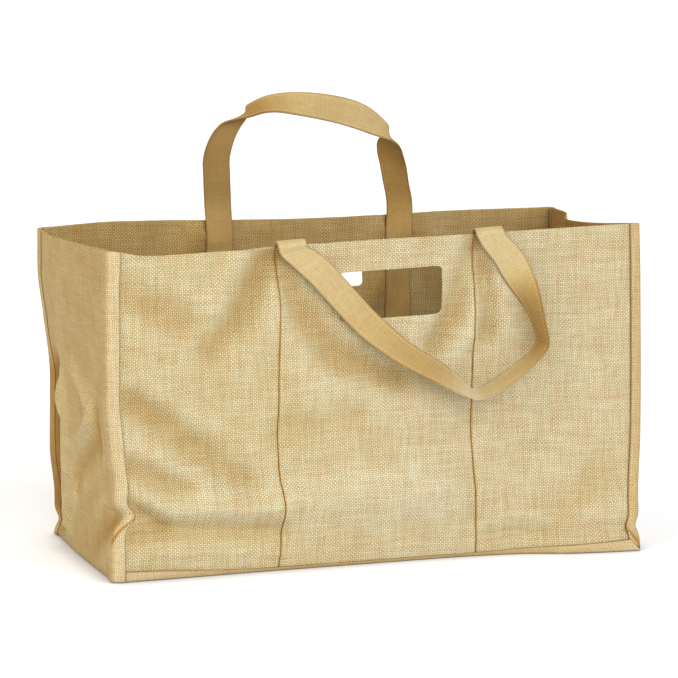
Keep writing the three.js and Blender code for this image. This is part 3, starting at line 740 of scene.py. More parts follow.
def cloth_material(kind, finish):
    """Jute cloth of one kind: the weave on the flat cloth positions, with a soft fibrous sheen."""
    name = f"{kind.capitalize()} jute"
    if name in bpy.data.materials:
        return bpy.data.materials[name]
    spacing, relief, marks = CLOTHS[kind]
    material, graph, surface = new_material(name)
    flat = graph.node("UVMap", uv_map="cloth")
    hollow = graph.node("Attribute", attribute_name="hollow")
    weave = graph.node("Group", node_tree=jute_weave())
    values = {
        "Place": flat.outputs[0], "Painted shading": hollow.outputs["Fac"], "Yarn": (*getattr(finish, kind), 1),
        "Gap": (*finish.gap, 1), "Yarn spacing": finish.yarn_spacing * spacing, **marks}
    for key, value in values.items():
        graph.join(value, weave.inputs[key])
    woven = weave.outputs
    bump = graph.node("Bump", {"Height": woven["Height"], "Distance": relief * MM, "Strength": 0.6})
    graph.join(woven["Color"], surface["Base Color"])
    graph.join(woven["Roughness"], surface["Roughness"])
    graph.join(bump.outputs[0], surface["Normal"])
    surface["Sheen Weight"].default_value = 0.04
    surface["Sheen Roughness"].default_value = 0.6
    surface["Specular IOR Level"].default_value = 0.08
    return material


def thread_material(finish):
    """Twisted sewing thread: a fine slanted ply in its colour."""
    name = "Sewing thread"
    if name in bpy.data.materials:
        return bpy.data.materials[name]
    material, graph, surface = new_material(name)
    flat = graph.split(graph.node("UVMap", uv_map="cloth").outputs[0])
    ply = graph.math("SINE", graph.times(graph.plus(flat[0], flat[1]), 9000.0))
    shade = graph.vector("SCALE", tuple(finish.thread), graph.spread(ply, -1.0, 1.0, 0.75, 1.0))
    graph.join(shade, surface["Base Color"])
    surface["Roughness"].default_value = 0.85
    surface["Specular IOR Level"].default_value = 0.2
    return material


# Walls

# Gap under the panels, half the gap at a seam, and what the corner welts cover of the panels and the sides
PANEL_FOOT = 2.6
SEAM_ROLL = 0.45
PANEL_TUCK = 5.0
SIDE_TUCK = 4.0

# Swell of a long wall over the strap behind it: height, reach before the seam and past the strap,
# lower end, and length of the slope on each of these three sides
SWELL = SimpleNamespace(height=0.9, before=2.1, past=2.5, foot=13, start=2.5, end=3.5, rise=3)

# Height at which the ripples beside the seams begin, and the length of their rise
RIPPLE_FOOT = 8
RIPPLE_RISE = 12

# Ripples gathered by rows of stitches: height, length, drift of the length and its wander,
# distance from the seam, the corner or the floor, and reach
PUCKERS = {
    "seam": SimpleNamespace(height=0.3, length=15, drift=1.7, wander=43, away=0, reach=11),
    "corner": SimpleNamespace(height=0.4, length=17, drift=2, wander=37, away=21, reach=8),
    "foot": SimpleNamespace(height=0.4, length=18, drift=2, wander=41, away=22, reach=8),
}

# Shade at the root of a strap: distance from the seam and below the rim, and reach both ways
ROOT = SimpleNamespace(aside=3, below=6, width=5, height=11)

# Painted shade added on the inner face of a wall, in the gap along the seams and at the roots of the straps
INSIDE_SHADE = 1.1
SEAM_GAP_SHADE = 1.6
ROOT_SHADE = 1.3

# Reach of the painted shade along a seam, grid line beside a panel's edge, and height at which a panel's width
# is taken
SEAM_SHADE = 0.7
EDGE_LINE = 0.8
WIDTH_AT = 150.0


def puckers(name, along, across):
    """Height of the ripples by the places along and across their row of stitches."""
    row = PUCKERS[name]
    wave = np.sin(along * 2 * np.pi / row.length + row.drift * np.sin(along / row.wander))
    return row.height * wave * bell(across - row.away, row.reach)


def panel_edges(wall):
    """Side lines of the three panels of a long wall, as shares of its width by height."""
    hidden = PANEL_TUCK / wall.length
    return {
        "left_panel": (lambda z: hidden + 0 * z, wall.seam("left", -SEAM_ROLL)),
        "centre_panel": (wall.seam("left", SEAM_ROLL), wall.seam("right", -SEAM_ROLL)),
        "right_panel": (wall.seam("right", SEAM_ROLL), lambda z: 1 - hidden + 0 * z),
    }


def panel_height(wall, u, size):
    """Height of a panel from its foot to its upper edge."""
    return wall.rim(u) - size.cloth / 2 - PANEL_FOOT


def panel_face(wall, edges, p, q, size):
    """Outer and inner face of a panel by its shares across and up, with its flat positions and painted shade.

    It swells over the straps behind it and puckers along its stitches.
    """
    low, high = edges
    guess = PANEL_FOOT + q * panel_height(wall, mix(low(0.0 * q), high(0.0 * q), p), size)
    u = mix(low(guess), high(guess), p)
    z = PANEL_FOOT + q * panel_height(wall, u, size)
    along, _ = wall.line(u, z)
    swell, root = 0.0, 0.0
    for seam in SEAMS[wall.name].values():
        from_seam = along - curve(seam, "z", "x")(z)
        start = ramp((from_seam + SWELL.before) / SWELL.start)
        end = ramp((size.strap_width + SWELL.past - from_seam) / SWELL.end)
        swell = swell + SWELL.height * (start * end) * ramp((z - SWELL.foot) / SWELL.rise)
        swell = swell + puckers("seam", z, from_seam) * ramp((z - RIPPLE_FOOT) / RIPPLE_RISE)
        below = wall.rim(u) - z
        root = root + bell(from_seam - ROOT.aside, ROOT.width) * bell(below - ROOT.below, ROOT.height)
    swell = swell + puckers("corner", z, np.minimum(u, 1 - u) * wall.length)
    swell = swell + puckers("foot", along, z)
    outer = wall.place(u, z, -swell)
    inner = wall.place(u, z, size.cloth - swell)
    # Painted shade in the gaps beside the seams and at the roots of the straps
    beside_seam = bell((u - low(z)) * wall.length, SEAM_SHADE) + bell((high(z) - u) * wall.length, SEAM_SHADE)
    tone = wall.hollow(u, z) + SEAM_GAP_SHADE * beside_seam + ROOT_SHADE * root
    return outer, inner, np.stack([along, z, tone], axis=-1)


def with_edges(shares, beside):
    """Even shares with one more close to each end."""
    return np.concatenate([shares[:1], [beside], shares[1:-1], [1 - beside], shares[-1:]])


def plain_panel(wall, edges, size):
    """Panel on a plain grid of shares across and up."""
    width = (edges[1](0.0) - edges[0](0.0)) * wall.length
    p = with_edges(np.linspace(0, 1, int(width / size.mesh_step) + 2), EDGE_LINE / width)[:, None]
    q = np.linspace(0, 1, int(wall.rim(0.5) / size.mesh_step) + 2)[None, :]
    p, q = np.broadcast_arrays(p, q)
    return rolled_sheet(*panel_face(wall, edges, p, q, size), inside=INSIDE_SHADE)


def slot_outline(straight=(76, 100), arc=4):
    """Outline of the hand slot and the matching outline of a unit square, both in four runs."""
    half = np.array([SLOT.width / 2 - SLOT.corner, SLOT.height / 2 - SLOT.corner])
    slot, square = [], []
    for k in range(4):
        heading = np.radians(90 * k)
        ahead = np.array([np.cos(heading), np.sin(heading)])
        out = np.array([np.sin(heading), -np.cos(heading)])
        run, rise = (half[0], half[1]) if k % 2 == 0 else (half[1], half[0])
        bend = np.radians(np.linspace(45, 0, arc, endpoint=False))
        early = -run * ahead + rise * out + SLOT.corner * (
            -np.sin(bend)[:, None] * ahead + np.cos(bend)[:, None] * out)
        along = np.linspace(-run, run, straight[k % 2] + 1)
        middle = along[:, None] * ahead + (rise + SLOT.corner) * out
        back = np.radians(np.linspace(0, 45, arc, endpoint=False)[1:])
        late = run * ahead + rise * out + SLOT.corner * (
            np.sin(back)[:, None] * ahead + np.cos(back)[:, None] * out)
        side = np.concatenate([early, middle, late])
        slot.append(side)
        share = np.arange(len(side)) / len(side)
        square.append(0.5 + (share[:, None] - 0.5) * ahead + 0.5 * out)
    tilt = np.radians(SLOT.tilt)
    turn = np.array([[np.cos(tilt), np.sin(tilt)], [-np.sin(tilt), np.cos(tilt)]])
    return np.concatenate(slot) @ turn + (SLOT.x, SLOT.z), np.concatenate(square)


def slotted_panel(wall, edges, size, rings=104, beside=0.006):
    """Panel on a ring-shaped grid that runs from the rim of the hand slot to the panel's outline."""
    outline, square = slot_outline()
    x, z = outline.T
    low, high = edges
    inner_p = (wall.share(x, z) - low(z)) / (high(z) - low(z))
    inner_q = (z - PANEL_FOOT) / panel_height(wall, wall.share(x, z), size)
    out = with_edges(np.linspace(0, 1, rings), beside)[None, :]
    p = mix(inner_p[:, None], square[:, :1], out)
    q = mix(inner_q[:, None], square[:, 1:], out)
    return rolled_sheet(*panel_face(wall, edges, p, q, size), ring=True, inside=INSIDE_SHADE)


def build_long_walls(size, finish):
    """Front and back walls: three panels each, the middle one with its hand slot."""
    walls = bag_walls(size)
    for name in ("front", "back"):
        wall = walls[name]
        for part, edges in panel_edges(wall).items():
            shape = slotted_panel if part == "centre_panel" else plain_panel
            sheet = shape(wall, edges, size)
            piece = make_piece(f"{name}_{part}_cloth", *sheet, cloth_material("body", finish))
            width = (edges[1](WIDTH_AT) - edges[0](WIDTH_AT)) * wall.length
            dress(piece, [f"{name}_{part}"], (width, wall.rim(0.5)))


def build_sides(size, finish):
    """Side panels, from welt to welt."""
    walls = bag_walls(size)
    for name in ("left", "right"):
        wall = walls[name]
        hidden = SIDE_TUCK / wall.length
        u = np.linspace(hidden, 1 - hidden, int(wall.length / size.mesh_step))[:, None]
        q = np.linspace(0, 1, int(wall.rim(0.5) / size.mesh_step))[None, :]
        u, q = np.broadcast_arrays(u, q)
        z = PANEL_FOOT + q * panel_height(wall, u, size)
        _, along = wall.line(u, z)
        place = np.stack([along, z, wall.hollow(u, z)], axis=-1)
        sheet = rolled_sheet(wall.place(u, z), wall.place(u, z, size.cloth), place, inside=INSIDE_SHADE)
        piece = make_piece(f"{name}_side_cloth", *sheet, cloth_material("side", finish))
        flat = (wall.length, wall.rim(0.5))
        dress(piece, [f"{name}_side_panel"], flat)


# Base: heights of its faces, gaps inside the sides and the long walls, and its waves by height and lengths
BASE = SimpleNamespace(top=3.4, bottom=1.8, side_gap=0.9, wall_gap=2.5, wave=0.25, wave_x=31, wave_y=27)


def build_base(size, finish):
    """Base: a flat sheet inside the feet of the four walls.

    It is a straight mix of the two sides' feet, then of the two long walls' feet.
    """
    walls = bag_walls(size)
    share = np.linspace(0, 1, int(size.width / size.mesh_step / 2))[:, None]
    across = np.linspace(0, 1, int(size.depth / size.mesh_step / 2))[None, :]
    foot = PANEL_FOOT + 0 * across
    ends = [walls[name].place(across, foot, size.cloth + BASE.side_gap)[..., 0] for name in ("left", "right")]
    x = mix(*ends, share)
    feet = []
    for wall in (walls["front"], walls["back"]):
        feet.append(wall.place(wall.share(x, 0 * x), 0 * x, size.cloth + BASE.wall_gap))
    upper = mix(*feet, across[..., None])
    upper[..., 0] = x
    lower = upper.copy()
    sag = BASE.wave * np.sin(upper[..., 0] / BASE.wave_x) * np.sin(upper[..., 1] / BASE.wave_y)
    upper[..., 2] = BASE.top + sag
    lower[..., 2] = BASE.bottom + sag
    sheet = rolled_sheet(upper, lower, upper[..., :2])
    piece = make_piece("base_cloth", *sheet, cloth_material("body", finish))
    dress(piece, ["base_panel"], (size.width, size.depth))


# Welts

# Corner welts: where the round of the corner begins and the strip ends on the side wall,
# gap at the rim and the floor, gap to the bottom welt, crown of the face, and its dip at the floor
CORNER = SimpleNamespace(bend=6.0, side=17.0, gap=1.0, mitre=0.8, crown=0.25, dip=0.6, dip_reach=3.0)

# Rise of a corner welt and of its lining over the side wall, at the corner and at the edge,
# and of the lining over the long wall
SIDE_RISE = (1.9, 1.0)
SIDE_LINING = (0.5, 0.45)
LINING = 0.5

# Crease that crosses a corner welt where the corner is pinched: slope, reach, end, fade and tone, the painted
# shade in the crease
CREASE = SimpleNamespace(slope=1.6, reach=3.5, end=18, fade=4, tone=2.4)

# Painted shade on the right-hand corner welts, which lie turned away from the light,
# and where a corner welt takes on the painted shade of the side wall
RIGHT_SHADE = 0.6
SIDE_SHADE = SimpleNamespace(start=12, fade=4)

# Height of the bottom welts on the wall's face; the rest of the strip is turned under
WELT_FACE = {
    "front": table(
        "u z",
        (0, 11.5), (0.08, 9.5), (0.2, 5), (0.3, 3.4), (0.66, 3.4), (0.72, 4.5), (0.85, 8.5), (1, 13)),
    "back": table("u z", (0, 13), (1, 13)),
}

# Rows of a bottom welt: share of its height on the face, share of its rise, distance under the wall
# and height of the lining above it
WELT_ROWS = table(
    "up out under lining",
    (1, 1, 0, 0), (0.8, 1.09, 0, 0), (0.55, 1.11, 0, 0), (0.3, 1.07, 0, 0), (0.2, 0.96, 0, 0.1),
    (0.11, 0.75, 0, 0.5), (0.05, 0.36, 0, 0.9), (0, 0, 0, 1.15), (0, 0, 4, 1.15), (0, 0, 9, 1.15))

# Rise of a bottom welt where it is all turned under, height of its fold, its painted shade there, and its
# lining
FOLD_RISE = 0.9
FOLD_FOOT = 0.25
FOLD_SHADE = 1.3
FOLD_LINING = 0.45

# Widths of the flat strips
WELT_CUT = {"corner": 33, "bottom": 26}


def welt_rise(height, size):
    """Rise of a bottom welt over the wall by its height on the face."""
    return mix(FOLD_RISE, size.welt_rise, height / size.welt_width)


def corner_strip(front, side, front_end, side_end, size):
    """Strip that covers a corner: from the face of a long wall, round the corner, on to the side wall.

    The corner itself is a quarter of an ellipse between the two faces.
    """
    q = np.linspace(0, 1, int(front.rim(0.5) / size.mesh_step))[None, :]
    at_front = lambda away: np.abs(front_end - away / front.length)
    at_side = lambda away: np.abs(side_end - away / side.length)
    bend = CORNER.bend

    def strip(face_out, side_out, shaped):
        runs = []
        for away in np.linspace(size.welt_width, bend, 6):
            u = at_front(away) + 0 * q
            low = away + CORNER.mitre if front_end == 1 else CORNER.gap
            z = mix(low, front.rim(u) - CORNER.gap, q)
            dip = shaped * CORNER.dip * bell(z, CORNER.dip_reach)
            crown = shaped * CORNER.crown * np.sin(np.pi * (away - bend) / (size.welt_width - bend))
            runs.append(front.place(u, z, -face_out - crown + dip))
        tail = []
        for away in np.linspace(bend, CORNER.side, 6):
            u = at_side(away) + 0 * q
            z = CORNER.gap + q * (side.rim(u) - 2 * CORNER.gap)
            tail.append(side.place(u, z, -mix(*side_out, (away - bend) / (CORNER.side - bend))))
        begin, end = runs[-1], tail[0]
        hub = begin.copy()
        hub[..., 0] = end[..., 0]
        hub[..., 2] = (begin[..., 2] + end[..., 2]) / 2
        for turn in np.radians(np.linspace(0, 90, 9)[1:-1]):
            towards = (begin - hub) * (1 - np.sin(turn)) + (end - hub) * (1 - np.cos(turn))
            runs.append(hub + towards)
        return np.concatenate(runs + tail)

    outer = strip(size.welt_rise, SIDE_RISE, 1)
    inner = strip(LINING, SIDE_LINING, 0)
    path = run_length(outer[:, outer.shape[1] // 2])[:, None]
    corner = front.start if front_end == 0 else front.finish
    crossing = outer[..., 2] - corner.buckle["z"] + CREASE.slope * path
    crease = bell(crossing, CREASE.reach) * ramp((CREASE.end - path) / CREASE.fade)
    beside = side.hollow(at_side(CORNER.side) + 0 * q, q * side.rim(side_end))
    taken = ramp((path - SIDE_SHADE.start) / SIDE_SHADE.fade)
    # Painted shade in the crease, on the right-hand welts and taken from the side wall
    tone = CREASE.tone * crease + RIGHT_SHADE * front_end + beside * taken
    place = np.stack(np.broadcast_arrays(path, outer[..., 2], tone), axis=-1)
    return rolled_sheet(outer, inner, place)


def bottom_strip(wall, size):
    """Strip along the foot of a long wall: down its face, round the bottom edge and on under it.

    It begins beside one corner welt and is cut aslant along the foot of the other.
    """
    share = np.linspace(0, 1, int(wall.length / size.mesh_step))[:, None]
    height = curve(WELT_FACE[wall.name], "u", "z")(share)
    rise = welt_rise(height, size)
    turned = size.welt_width - height
    start = (size.welt_width + CORNER.mitre) / wall.length
    out = WELT_ROWS["out"]
    runs = []
    for k, under in enumerate(WELT_ROWS["under"]):
        z = np.maximum(WELT_ROWS["up"][k] * height, FOLD_FOOT)
        u = mix(start, 1 - np.maximum(z, CORNER.mitre) / wall.length, share)
        runs.append(wall.place(u, z, -(rise * out[k] - under - turned * under / WELT_ROWS["under"][-1])))
    outer = np.concatenate(runs, axis=1)
    inner = outer.copy()
    on_face = np.flatnonzero(out)
    inner[:, on_face, 1] += wall.outward[1] * (FOLD_LINING - rise * out[on_face])
    inner[..., 2] += WELT_ROWS["lining"]
    # Painted shade where the welt is turned under, towards the floor
    tone = FOLD_SHADE * (1 - height / size.welt_width)
    place = np.stack(np.broadcast_arrays(run_length(outer[-4])[None, :], share * wall.length, tone), axis=-1)
    return rolled_sheet(outer, inner, place)


def build_welts(size, finish):
    """Welts over the four corners and along the feet of the long walls."""
    walls = bag_walls(size)
    for name, side_end in (("front", 0.0), ("back", 1.0)):
        wall = walls[name]
        corner = (WELT_CUT["corner"], wall.rim(0.5))
        bottom = (wall.length - size.welt_width, WELT_CUT["bottom"])
        welts = []
        for side, front_end in (("left", 0.0), ("right", 1.0)):
            strip = corner_strip(wall, walls[side], front_end, side_end, size)
            welts.append((side, strip, corner, f"{side}_side_cloth"))
        welts.append(("bottom", bottom_strip(wall, size), bottom, f"{name}_centre_panel_cloth"))
        for part, strip, flat, under in welts:
            node = f"{name}_{part}_welt"
            piece = make_piece(f"{node}_cloth", *strip, cloth_material("welt", finish))
            dress(piece, [node], flat)


# Handles

# Columns of a strap's grid as shares of its half width, closer beside the stitched lines
STITCH_LINE = 0.8
STRAP_COLUMNS = np.array([0.15, 0.35, 0.55, 0.7, 0.76, STITCH_LINE, 0.84, 0.9, 0.95, 0.985])
STRAP_COLUMNS = np.concatenate([-STRAP_COLUMNS[::-1], [0], STRAP_COLUMNS])

# Sewn run of a strap: height of its lower end, share of the wall's height at its upper end,
# how far it reaches past the seam, its gaps to the wall there and in the fold over the rim,
# share of the wall's swell that it follows, and rows
SEWN = SimpleNamespace(foot=16.0, top=0.96, past=1.2, gap=0.75, fold_gap=1.2, follow=0.8, rows=34)

# Rows of the finished strap between two given ones
STRAP_STEPS = 6

# Pressed line along each row of stitches, its reach in half widths, and the crown of the strap
PRESS = 0.35
PRESS_REACH = 0.035
CROWN = 0.15


def smooth_rows(rows, steps):
    """Centripetal spline through rows of points, timed by their middle column."""
    padded = np.concatenate([2 * rows[:1] - rows[1:2], rows, 2 * rows[-1:] - rows[-2:-1]])
    middle = padded[:, padded.shape[1] // 2]
    knots = np.append(0, np.cumsum(np.sqrt(np.linalg.norm(np.diff(middle, axis=0), axis=-1))))
    count = len(padded) - 3
    p0, p1, p2, p3 = (padded[k:count + k, None] for k in range(4))
    t0, t1, t2, t3 = (knots[k:count + k, None, None, None] for k in range(4))
    t = mix(t1, t2, (np.arange(steps) / steps)[None, :, None, None])

    def between(a, b, start, end):
        return a * (end - t) / (end - start) + b * (t - start) / (end - start)

    near = between(between(p0, p1, t0, t1), between(p1, p2, t1, t2), t0, t2)
    far = between(between(p1, p2, t1, t2), between(p2, p3, t2, t3), t1, t3)
    return np.concatenate([between(near, far, t1, t2).reshape(-1, *rows.shape[1:]), rows[-1:]])


def across_strap(middle, turn, lift, size):
    """Rows of points across a strap by its middle line, turn in the upright plane and lift to the back."""
    turn, lift = np.radians(turn), np.radians(lift)
    width = np.stack([np.cos(turn) * np.cos(lift), np.sin(lift), np.sin(turn) * np.cos(lift)], axis=-1)
    return middle[:, None] + width[:, None] * STRAP_COLUMNS[:, None] * size.strap_width / 2


def sewn_run(wall, side, size, top):
    """Rows of a strap sewn to the inside of a wall, from low to high, following the wall's folds."""
    z = np.linspace(SEWN.foot, top, SEWN.rows)[:, None] + 0 * STRAP_COLUMNS
    inset = size.cloth + SEWN.gap + size.strap_thickness / 2 - SWELL.height * SEWN.follow
    x = curve(SEAMS[wall.name][side], "z", "x")(z) - SEWN.past + (1 + STRAP_COLUMNS) * size.strap_width / 2
    return wall.place(wall.share(x, z), z, inset)


def rim_fold(wall, side, size, start_turn):
    """Rows of a strap folded over the rim, from the inside to the outside of the wall."""
    u = wall.seam(side, size.strap_width / 2)(wall.rim(0.5))
    inside = size.cloth + SEWN.fold_gap + size.strap_thickness / 2
    middle = wall.place(u, wall.rim(u), mix(inside, size.cloth - inside, RIM_FOLD["over"]))
    middle[:, 2] += RIM_FOLD["up"]
    return across_strap(middle, start_turn + RIM_FOLD["turn"], 0 * RIM_FOLD["turn"], size)


def free_loop(wall, loop, off_sign, size):
    """Rows of a strap's free loop."""
    z = np.minimum(loop["z"], wall.rim(0.5))
    foot = wall.place(wall.share(loop["x"], z), z)
    middle = np.stack([loop["x"], foot[:, 1] + off_sign * loop["off"], loop["z"]], axis=-1)
    return across_strap(middle, loop["turn"], loop["lift"], size)


def handle_grid(wall, size):
    """Course of a handle strap and its painted shade: up inside the wall, round its free loop and down again.
    """
    top = wall.rim(0.5) * SEWN.top
    up = sewn_run(wall, "left", size, top)
    down = sewn_run(wall, "right", size, top)[::-1, ::-1]
    if wall.name == "front":
        loop = FRONT_LOOP
        over = rim_fold(wall, "left", size, 0)
        back_over = rim_fold(wall, "right", size, 180)[::-1]
        runs = [up, over, free_loop(wall, loop, -1, size), back_over, down]
    else:
        loop = REAR_LOOP
        runs = [up, free_loop(wall, loop, 1, size), down]
    rows = np.concatenate(runs)
    before = (len(rows) - len(loop["tone"])) // 2
    tones = np.pad(loop["tone"], before)
    tones[:len(up)] = tones[-len(down):] = SEWN_SHADE[wall.name]
    at = np.arange((len(rows) - 1) * STRAP_STEPS + 1) / STRAP_STEPS
    return smooth_rows(rows, STRAP_STEPS), np.interp(at, np.arange(len(rows)), tones)


def strap_faces(grid):
    """Outward direction of a strap's face at each grid point."""
    return unit(np.cross(np.gradient(grid, axis=0), np.gradient(grid, axis=1)))


def strap_sheet(grid, tone, size):
    """Strap: its grid thickened both ways, with a pressed line inside each edge."""
    press = PRESS * bell(np.abs(STRAP_COLUMNS) - STITCH_LINE, PRESS_REACH)
    crown = CROWN * (1 - STRAP_COLUMNS ** 2)
    half = (size.strap_thickness / 2 - press + crown)[:, None]
    out = strap_faces(grid)
    length = run_length(grid[:, grid.shape[1] // 2])
    across = (1 - np.abs(STRAP_COLUMNS)) * size.strap_width / 2
    place = np.stack(np.broadcast_arrays(across[None, :], length[:, None], tone[:, None]), axis=-1)
    return rolled_sheet(grid + out * half, grid - out * half, place, bulge=0.6)


def build_handles(size, finish):
    """The two strap handles: the front one fallen over the wall, the rear one standing up."""
    walls = bag_walls(size)
    for name, wall in (("front", walls["front"]), ("rear", walls["back"])):
        grid, tone = handle_grid(wall, size)
        sheet = strap_sheet(grid, tone, size)
        piece = make_piece(f"{name}_handle_strap", *sheet, cloth_material("strap", finish))
        middle = grid[:, grid.shape[1] // 2]
        length = np.linalg.norm(np.diff(middle, axis=0), axis=-1).sum()
        dress(piece, [f"{name}_handle"], (size.strap_width, length))


# Stitching

# One stitch: half its width and height, depth of its tips in the cloth, and points round it
STITCH = SimpleNamespace(width=0.42, height=0.32, sink=0.15, sides=6)

# Distance of the stitches from a welt's edge, from the seam and from the far edge of the strap
WELT_LINE = 2.4
SEAM_LINE = 3.4
FAR_LINE = 2.6

# Height of the stitches over the cloth, and gaps of their lines at the lower and the upper end
LIFT = SimpleNamespace(welt=0.1, seam=0.05, strap=-0.2)
WELT_GAPS = (3, 2)
SEAM_GAPS = (4, 12)

# Shares of the width along which the bottom welts are stitched, and points of a stitched line
BOTTOM_LINES = ((0.025, 0.13), (0.84, 0.975))
LINE_POINTS = 220
BOTTOM_POINTS = 120


def stitch_shape(size):
    """One stitch: a short bead, round across and tapering to a point at each end."""
    sides = STITCH.sides
    ring = np.radians(np.arange(sides) * 360 / sides)
    share = np.array([0.18, 0.5, 0.82])
    girth = (np.sin(np.pi * share) ** 0.6)[:, None]
    long = ((share - 0.5) * size.stitch)[:, None]
    bead = [long, STITCH.width * girth * np.cos(ring), STITCH.height * girth * np.sin(ring)]
    body = np.stack(np.broadcast_arrays(*bead), axis=-1).reshape(-1, 3)
    tips = np.array([[-size.stitch / 2, 0, -STITCH.sink], [size.stitch / 2, 0, -STITCH.sink]])
    around = np.arange(sides)
    after = (around + 1) % sides
    last, tip = 2 * sides, np.full(sides, 3 * sides)
    faces = []
    for row in (0, sides):
        faces.append([around + row, after + row, after + row + sides])
        faces.append([around + row, after + row + sides, around + row + sides])
    faces.append([after, around, tip])
    faces.append([around + last, after + last, tip + 1])
    return np.concatenate([body, tips]), np.concatenate([np.stack(corners, axis=-1) for corners in faces])


def stitch_row(points, normals, size):
    """Places and directions of the stitches of one row, evenly spaced along a line of points."""
    length = run_length(points)
    at = np.arange(size.stitch_pitch, length[-1] - size.stitch_pitch, size.stitch_pitch)
    read = lambda values, where: np.stack([np.interp(where, length, column) for column in values.T], axis=-1)
    along = unit(read(points, at + 1) - read(points, at - 1))
    side = unit(np.cross(unit(read(normals, at)), along))
    return read(points, at), np.stack([along, side, np.cross(along, side)], axis=-2)


def stitch_piece(name, rows, size, finish):
    """All the stitches of several rows as one piece: the same bead turned to each place."""
    shape, faces = stitch_shape(size)
    centre = np.concatenate([row[0] for row in rows])
    turn = np.concatenate([row[1] for row in rows])
    points = np.einsum("pk,nkx->npx", shape, turn) + centre[:, None]
    faces = faces[None] + (np.arange(len(centre)) * len(shape))[:, None, None]
    place = np.broadcast_to(shape[:, :2], (len(centre), len(shape), 2))
    mesh = (points.reshape(-1, 3), faces.reshape(-1, 3), place.reshape(-1, 2))
    return make_piece(name, *mesh, thread_material(finish))


def wall_row(wall, u, z, out, size):
    """Stitches along a line on a wall's face."""
    return stitch_row(wall.place(u, z, -out), wall.normal(u, z), size)


def build_stitching(size, finish):
    """Rows of stitches along the welts, beside the seams and along both edges of the straps."""
    walls = bag_walls(size)
    welt_rows, seam_rows, strap_rows = [], [], []
    for wall in (walls["front"], walls["back"]):
        line = (size.welt_width - WELT_LINE) / wall.length
        z = np.linspace(WELT_GAPS[0], wall.rim(0.02) - WELT_GAPS[1], LINE_POINTS)
        for u in (line, 1 - line):
            welt_rows.append(wall_row(wall, u + 0 * z, z, size.welt_rise + LIFT.welt, size))
        face = curve(WELT_FACE[wall.name], "u", "z")
        for ends in BOTTOM_LINES:
            u = np.linspace(*ends, BOTTOM_POINTS)
            out = welt_rise(face(u), size) * WELT_ROWS["out"][1]
            welt_rows.append(wall_row(wall, u, face(u) - WELT_LINE, out, size))
        z = np.linspace(size.welt_width + SEAM_GAPS[0], wall.rim(0.5) - SEAM_GAPS[1], LINE_POINTS)
        for side in ("left", "right"):
            for offset in (SEAM_LINE, size.strap_width - FAR_LINE):
                seam_rows.append(wall_row(wall, wall.seam(side, offset)(z), z, SWELL.height + LIFT.seam, size))
        grid, _ = handle_grid(wall, size)
        out = strap_faces(grid)
        for column in np.flatnonzero(np.isclose(np.abs(STRAP_COLUMNS), STITCH_LINE)):
            face = grid[:, column] + out[:, column] * (size.strap_thickness / 2 + LIFT.strap)
            strap_rows.append(stitch_row(face, out[:, column], size))
    dress(stitch_piece("welt_stitches", welt_rows, size, finish))
    dress(stitch_piece("seam_stitches", seam_rows, size, finish))
    dress(stitch_piece("strap_stitches", strap_rows, size, finish))


# Stage

# Round floor, in metres, and how far it lies below the bag
FLOOR_RADIUS = 40
FLOOR_DROP = 0.0005
FLOOR_SIDES = 96

# Lamps: name, strength, colour, softness and turn in degrees
LAMPS = (
    ("Key", 2.85, (0.98, 0.98, 0.99), 60, (66, 0, 10)),
    ("Warm fill", 1.5, (1.0, 0.84, 0.6), 50, (56, 0, -76)),
    ("Back fill", 0.9, (1.0, 0.95, 0.86), 70, (52, 0, 165)),
)

# Camera: place, turn in degrees, lens and sensor
CAMERA = SimpleNamespace(place=(-1.0424, -3.1607, 0.6840), turn=(82.23, 0, -18.15), lens=159.29, sensor=36)


def build_floor(scene):
    """Pale, evenly glowing floor with a painted contact shadow: its glow fades close to the bag."""
    mesh = bpy.data.meshes.new("floor")
    ring = np.linspace(0, 2 * np.pi, FLOOR_SIDES, endpoint=False)
    x, y = FLOOR_RADIUS * np.cos(ring), FLOOR_RADIUS * np.sin(ring)
    points = np.stack([x, y, 0 * ring - FLOOR_DROP], axis=-1)
    mesh.from_pydata(points.tolist(), [], [list(range(FLOOR_SIDES))])
    floor = bpy.data.objects.new("floor", mesh)
    scene.collection.objects.link(floor)
    pale, graph, surface = new_material("Pale floor")
    # Painted contact shadow: the floor's glow dims where the bag stands close by
    near = graph.node("AmbientOcclusion", {"Distance": 0.035}, samples=8)
    graph.join(graph.spread(near.outputs["AO"], 0.45, 0.95), surface["Emission Color"])
    surface["Emission Strength"].default_value = 0.3
    surface["Base Color"].default_value = (0.74, 0.79, 0.9, 1)
    surface["Roughness"].default_value = 0.9
    surface["Specular IOR Level"].default_value = 0.1
    mesh.materials.append(pale)


def build_stage():
    """Pale floor, soft studio light and the camera."""
    scene = bpy.context.scene
    build_floor(scene)
    world = bpy.data.worlds.new("Studio")
    world.use_nodes = True
    sky = world.node_tree.nodes["Background"].inputs
    sky["Color"].default_value = (1, 0.90, 0.72, 1)
    sky["Strength"].default_value = 0.4
    scene.world = world
    for name, energy, color, soft, turn in LAMPS:
        lamp = bpy.data.lights.new(name, "SUN")
        lamp.energy = energy
        lamp.color = color
        lamp.angle = np.radians(soft)
        light = bpy.data.objects.new(name, lamp)
        light.location = (0, 0, 3)
        light.rotation_euler = np.radians(turn)
        scene.collection.objects.link(light)
    view = bpy.data.cameras.new("Camera")
    view.sensor_width = CAMERA.sensor
    view.lens = CAMERA.lens
    view.clip_end = 200
    camera = bpy.data.objects.new("Camera", view)
    camera.location = CAMERA.place
    camera.rotation_euler = np.radians(CAMERA.turn)
    scene.collection.objects.link(camera)
    scene.camera = camera
    scene.view_settings.view_transform = "Standard"


# Operators and panel


def settings(context):
    """Sizes in millimetres and finish of the scene's bag."""
    return millimetres(context.scene.bag_sizes), context.scene.bag_finish


